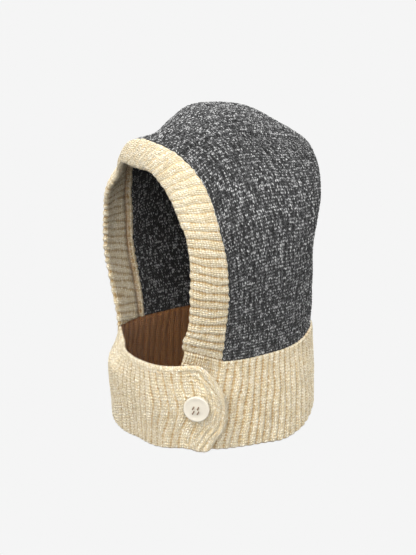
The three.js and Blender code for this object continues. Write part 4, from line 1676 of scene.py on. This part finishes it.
    def carry(self, made: bpy.types.Object) -> None:
        """Moves a piece modelled flat onto the tab."""
        lift = Matrix.Translation((0, 0, self.thickness / 2))
        made.data.transform(self.seat() @ Matrix.Scale(0.001, 4) @ lift)
        made.matrix_world = Matrix.Identity(4)
        Workbench.pick(made)
        Workbench.on_whole_mesh(bpy.ops.mesh.remove_doubles, threshold=1e-6)
        Workbench.face_outward(made)

    def build(self) -> None:
        """Models and dresses the button and its thread."""
        disc = self.disc()
        # painted shade on the walls of the four holes
        in_hole = []
        for v in disc.data.vertices:
            reach = min(math.hypot(v.co.x - x, v.co.y - y) for x, y in self.holes())
            in_hole.append(reach < self.hole_diameter * 0.52)
        layer = disc.data.attributes.new("hole_shade", "FLOAT", "CORNER")
        for face in disc.data.polygons:
            shaded_wall = all(in_hole[i] for i in face.vertices)
            for corner in face.loop_indices:
                layer.data[corner].value = float(shaded_wall)
        self.carry(disc)
        Workbench.pick(disc)
        bpy.ops.object.shade_smooth_by_angle(angle=math.radians(40))
        Workbench.settle(disc, "button", "white_button", self.button_finish)
        thread = self.stitches()
        self.carry(thread)
        Workbench.pick(thread)
        bpy.ops.object.shade_smooth()
        Workbench.settle(thread, "button_thread", "cream_thread", self.thread_finish)


@dataclass
class Studio:
    """A plain pale floor far below, soft light and the camera."""

    azimuth: float = 56.0
    elevation: float = 18.0
    distance: float = 1.3
    lens: float = 84.3
    aim: tuple = (-0.0017, -0.0025, -0.1716)
    floor_level: float = -0.95
    pale: tuple = linear(245, 245, 245)
    ambient: float = 0.62
    bounce: float = 0.24
    # name, strength, spread, azimuth and elevation of each lamp
    LAMPS = (
        ("overhead", 3.6, 80.0, 70.0, 66.0),
        ("front", 0.4, 50.0, 63.0, 42.0),
        ("low", 1.9, 55.0, 54.0, 12.0),
        ("fill", 1.4, 60.0, -15.0, 38.0),
        ("back", 1.7, 70.0, 225.0, 28.0),
    )

    def build(self) -> None:
        """Makes the floor, the lights and the camera."""
        self.floor()
        self.lights()
        self.camera()

    def floor(self) -> None:
        """Lays the floor, which throws less light up than it shows."""
        Workbench.clear_selection()
        bpy.ops.mesh.primitive_plane_add(size=80, location=(0, 0, self.floor_level))
        floor = bpy.context.object
        floor.name = "studio_floor"
        finish = Wiring.empty_material("pale floor")
        w = Wiring(finish.node_tree)
        seen = w.node("ShaderNodeLightPath").outputs["Is Camera Ray"]
        shine = w.node("ShaderNodeEmission")
        w.feed(shine.inputs["Color"], self.pale)
        strength = w.math("MULTIPLY_ADD", seen, 1.0 - self.bounce, self.bounce)
        w.feed(shine.inputs["Strength"], strength)
        w.show(shine)
        floor.data.materials.append(finish)

    def lights(self) -> None:
        """Sets the sky and the wide lamps."""
        world = bpy.data.worlds.new("studio")
        world.use_nodes = True
        w = Wiring(world.node_tree)
        sky = world.node_tree.nodes["Background"]
        seen = w.node("ShaderNodeLightPath").outputs["Is Camera Ray"]
        w.feed(sky.inputs["Color"], self.pale)
        strength = w.math("MULTIPLY_ADD", seen, 1.0 - self.ambient, self.ambient)
        w.feed(sky.inputs["Strength"], strength)
        bpy.context.scene.world = world
        for name, strength, spread, azimuth, elevation in self.LAMPS:
            Workbench.clear_selection()
            bpy.ops.object.light_add(type="SUN")
            lamp = bpy.context.object
            lamp.name = name
            lamp.data.energy = strength
            lamp.data.angle = math.radians(spread)
            self.face_part(lamp, azimuth, elevation)
        bpy.context.scene.view_settings.view_transform = "Standard"

    @staticmethod
    def face_part(made: bpy.types.Object, azimuth: float, elevation: float) -> Vector:
        """Turns a lamp or camera toward the part.

        Args:
            made: The lamp or camera.
            azimuth: The azimuth it looks from, in degrees.
            elevation: The elevation it looks from, in degrees.

        Returns:
            The way back from the part to it.
        """
        a, e = math.radians(azimuth), math.radians(elevation)
        back = Vector((math.sin(a) * math.cos(e), -math.cos(a) * math.cos(e), math.sin(e)))
        made.rotation_mode = "QUATERNION"
        made.rotation_quaternion = (-back).to_track_quat("-Z", "Y")
        return back

    def camera(self) -> None:
        """Sets the camera at the photograph's angle."""
        Workbench.clear_selection()
        bpy.ops.object.camera_add()
        camera = bpy.context.object
        camera.data.lens = self.lens
        camera.data.sensor_width = 36.0
        back = self.face_part(camera, self.azimuth, self.elevation)
        camera.location = Vector(self.aim) + back * self.distance
        bpy.context.scene.camera = camera


def corners(box: tuple) -> list[list[float]]:
    """A box as plain lists."""
    return [list(map(float, corner)) for corner in box]


def main() -> None:
    """Builds every piece in order."""
    logging.basicConfig(level=logging.INFO, format="%(name)s: %(message)s")
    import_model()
    Studio().build()
    Effects.build_all()
    form = HeadForm()
    neck = Neckline()
    band = BandPath(form, neck)
    grey = GREY_MARL.material()
    cream = CREAM_WOOL.material()
    HoodPanels(form, neck, band, grey).build()
    FaceTrim(form, band, cream).build()
    Collar(form, neck, cream).build()
    flap = Flap(form, cream)
    flap.build()
    ButtonAndThread(form, flap, ButtonFinish().material(), ThreadFinish().material()).build()
    Workbench.clear_selection()


if __name__ == "__main__":
    main()
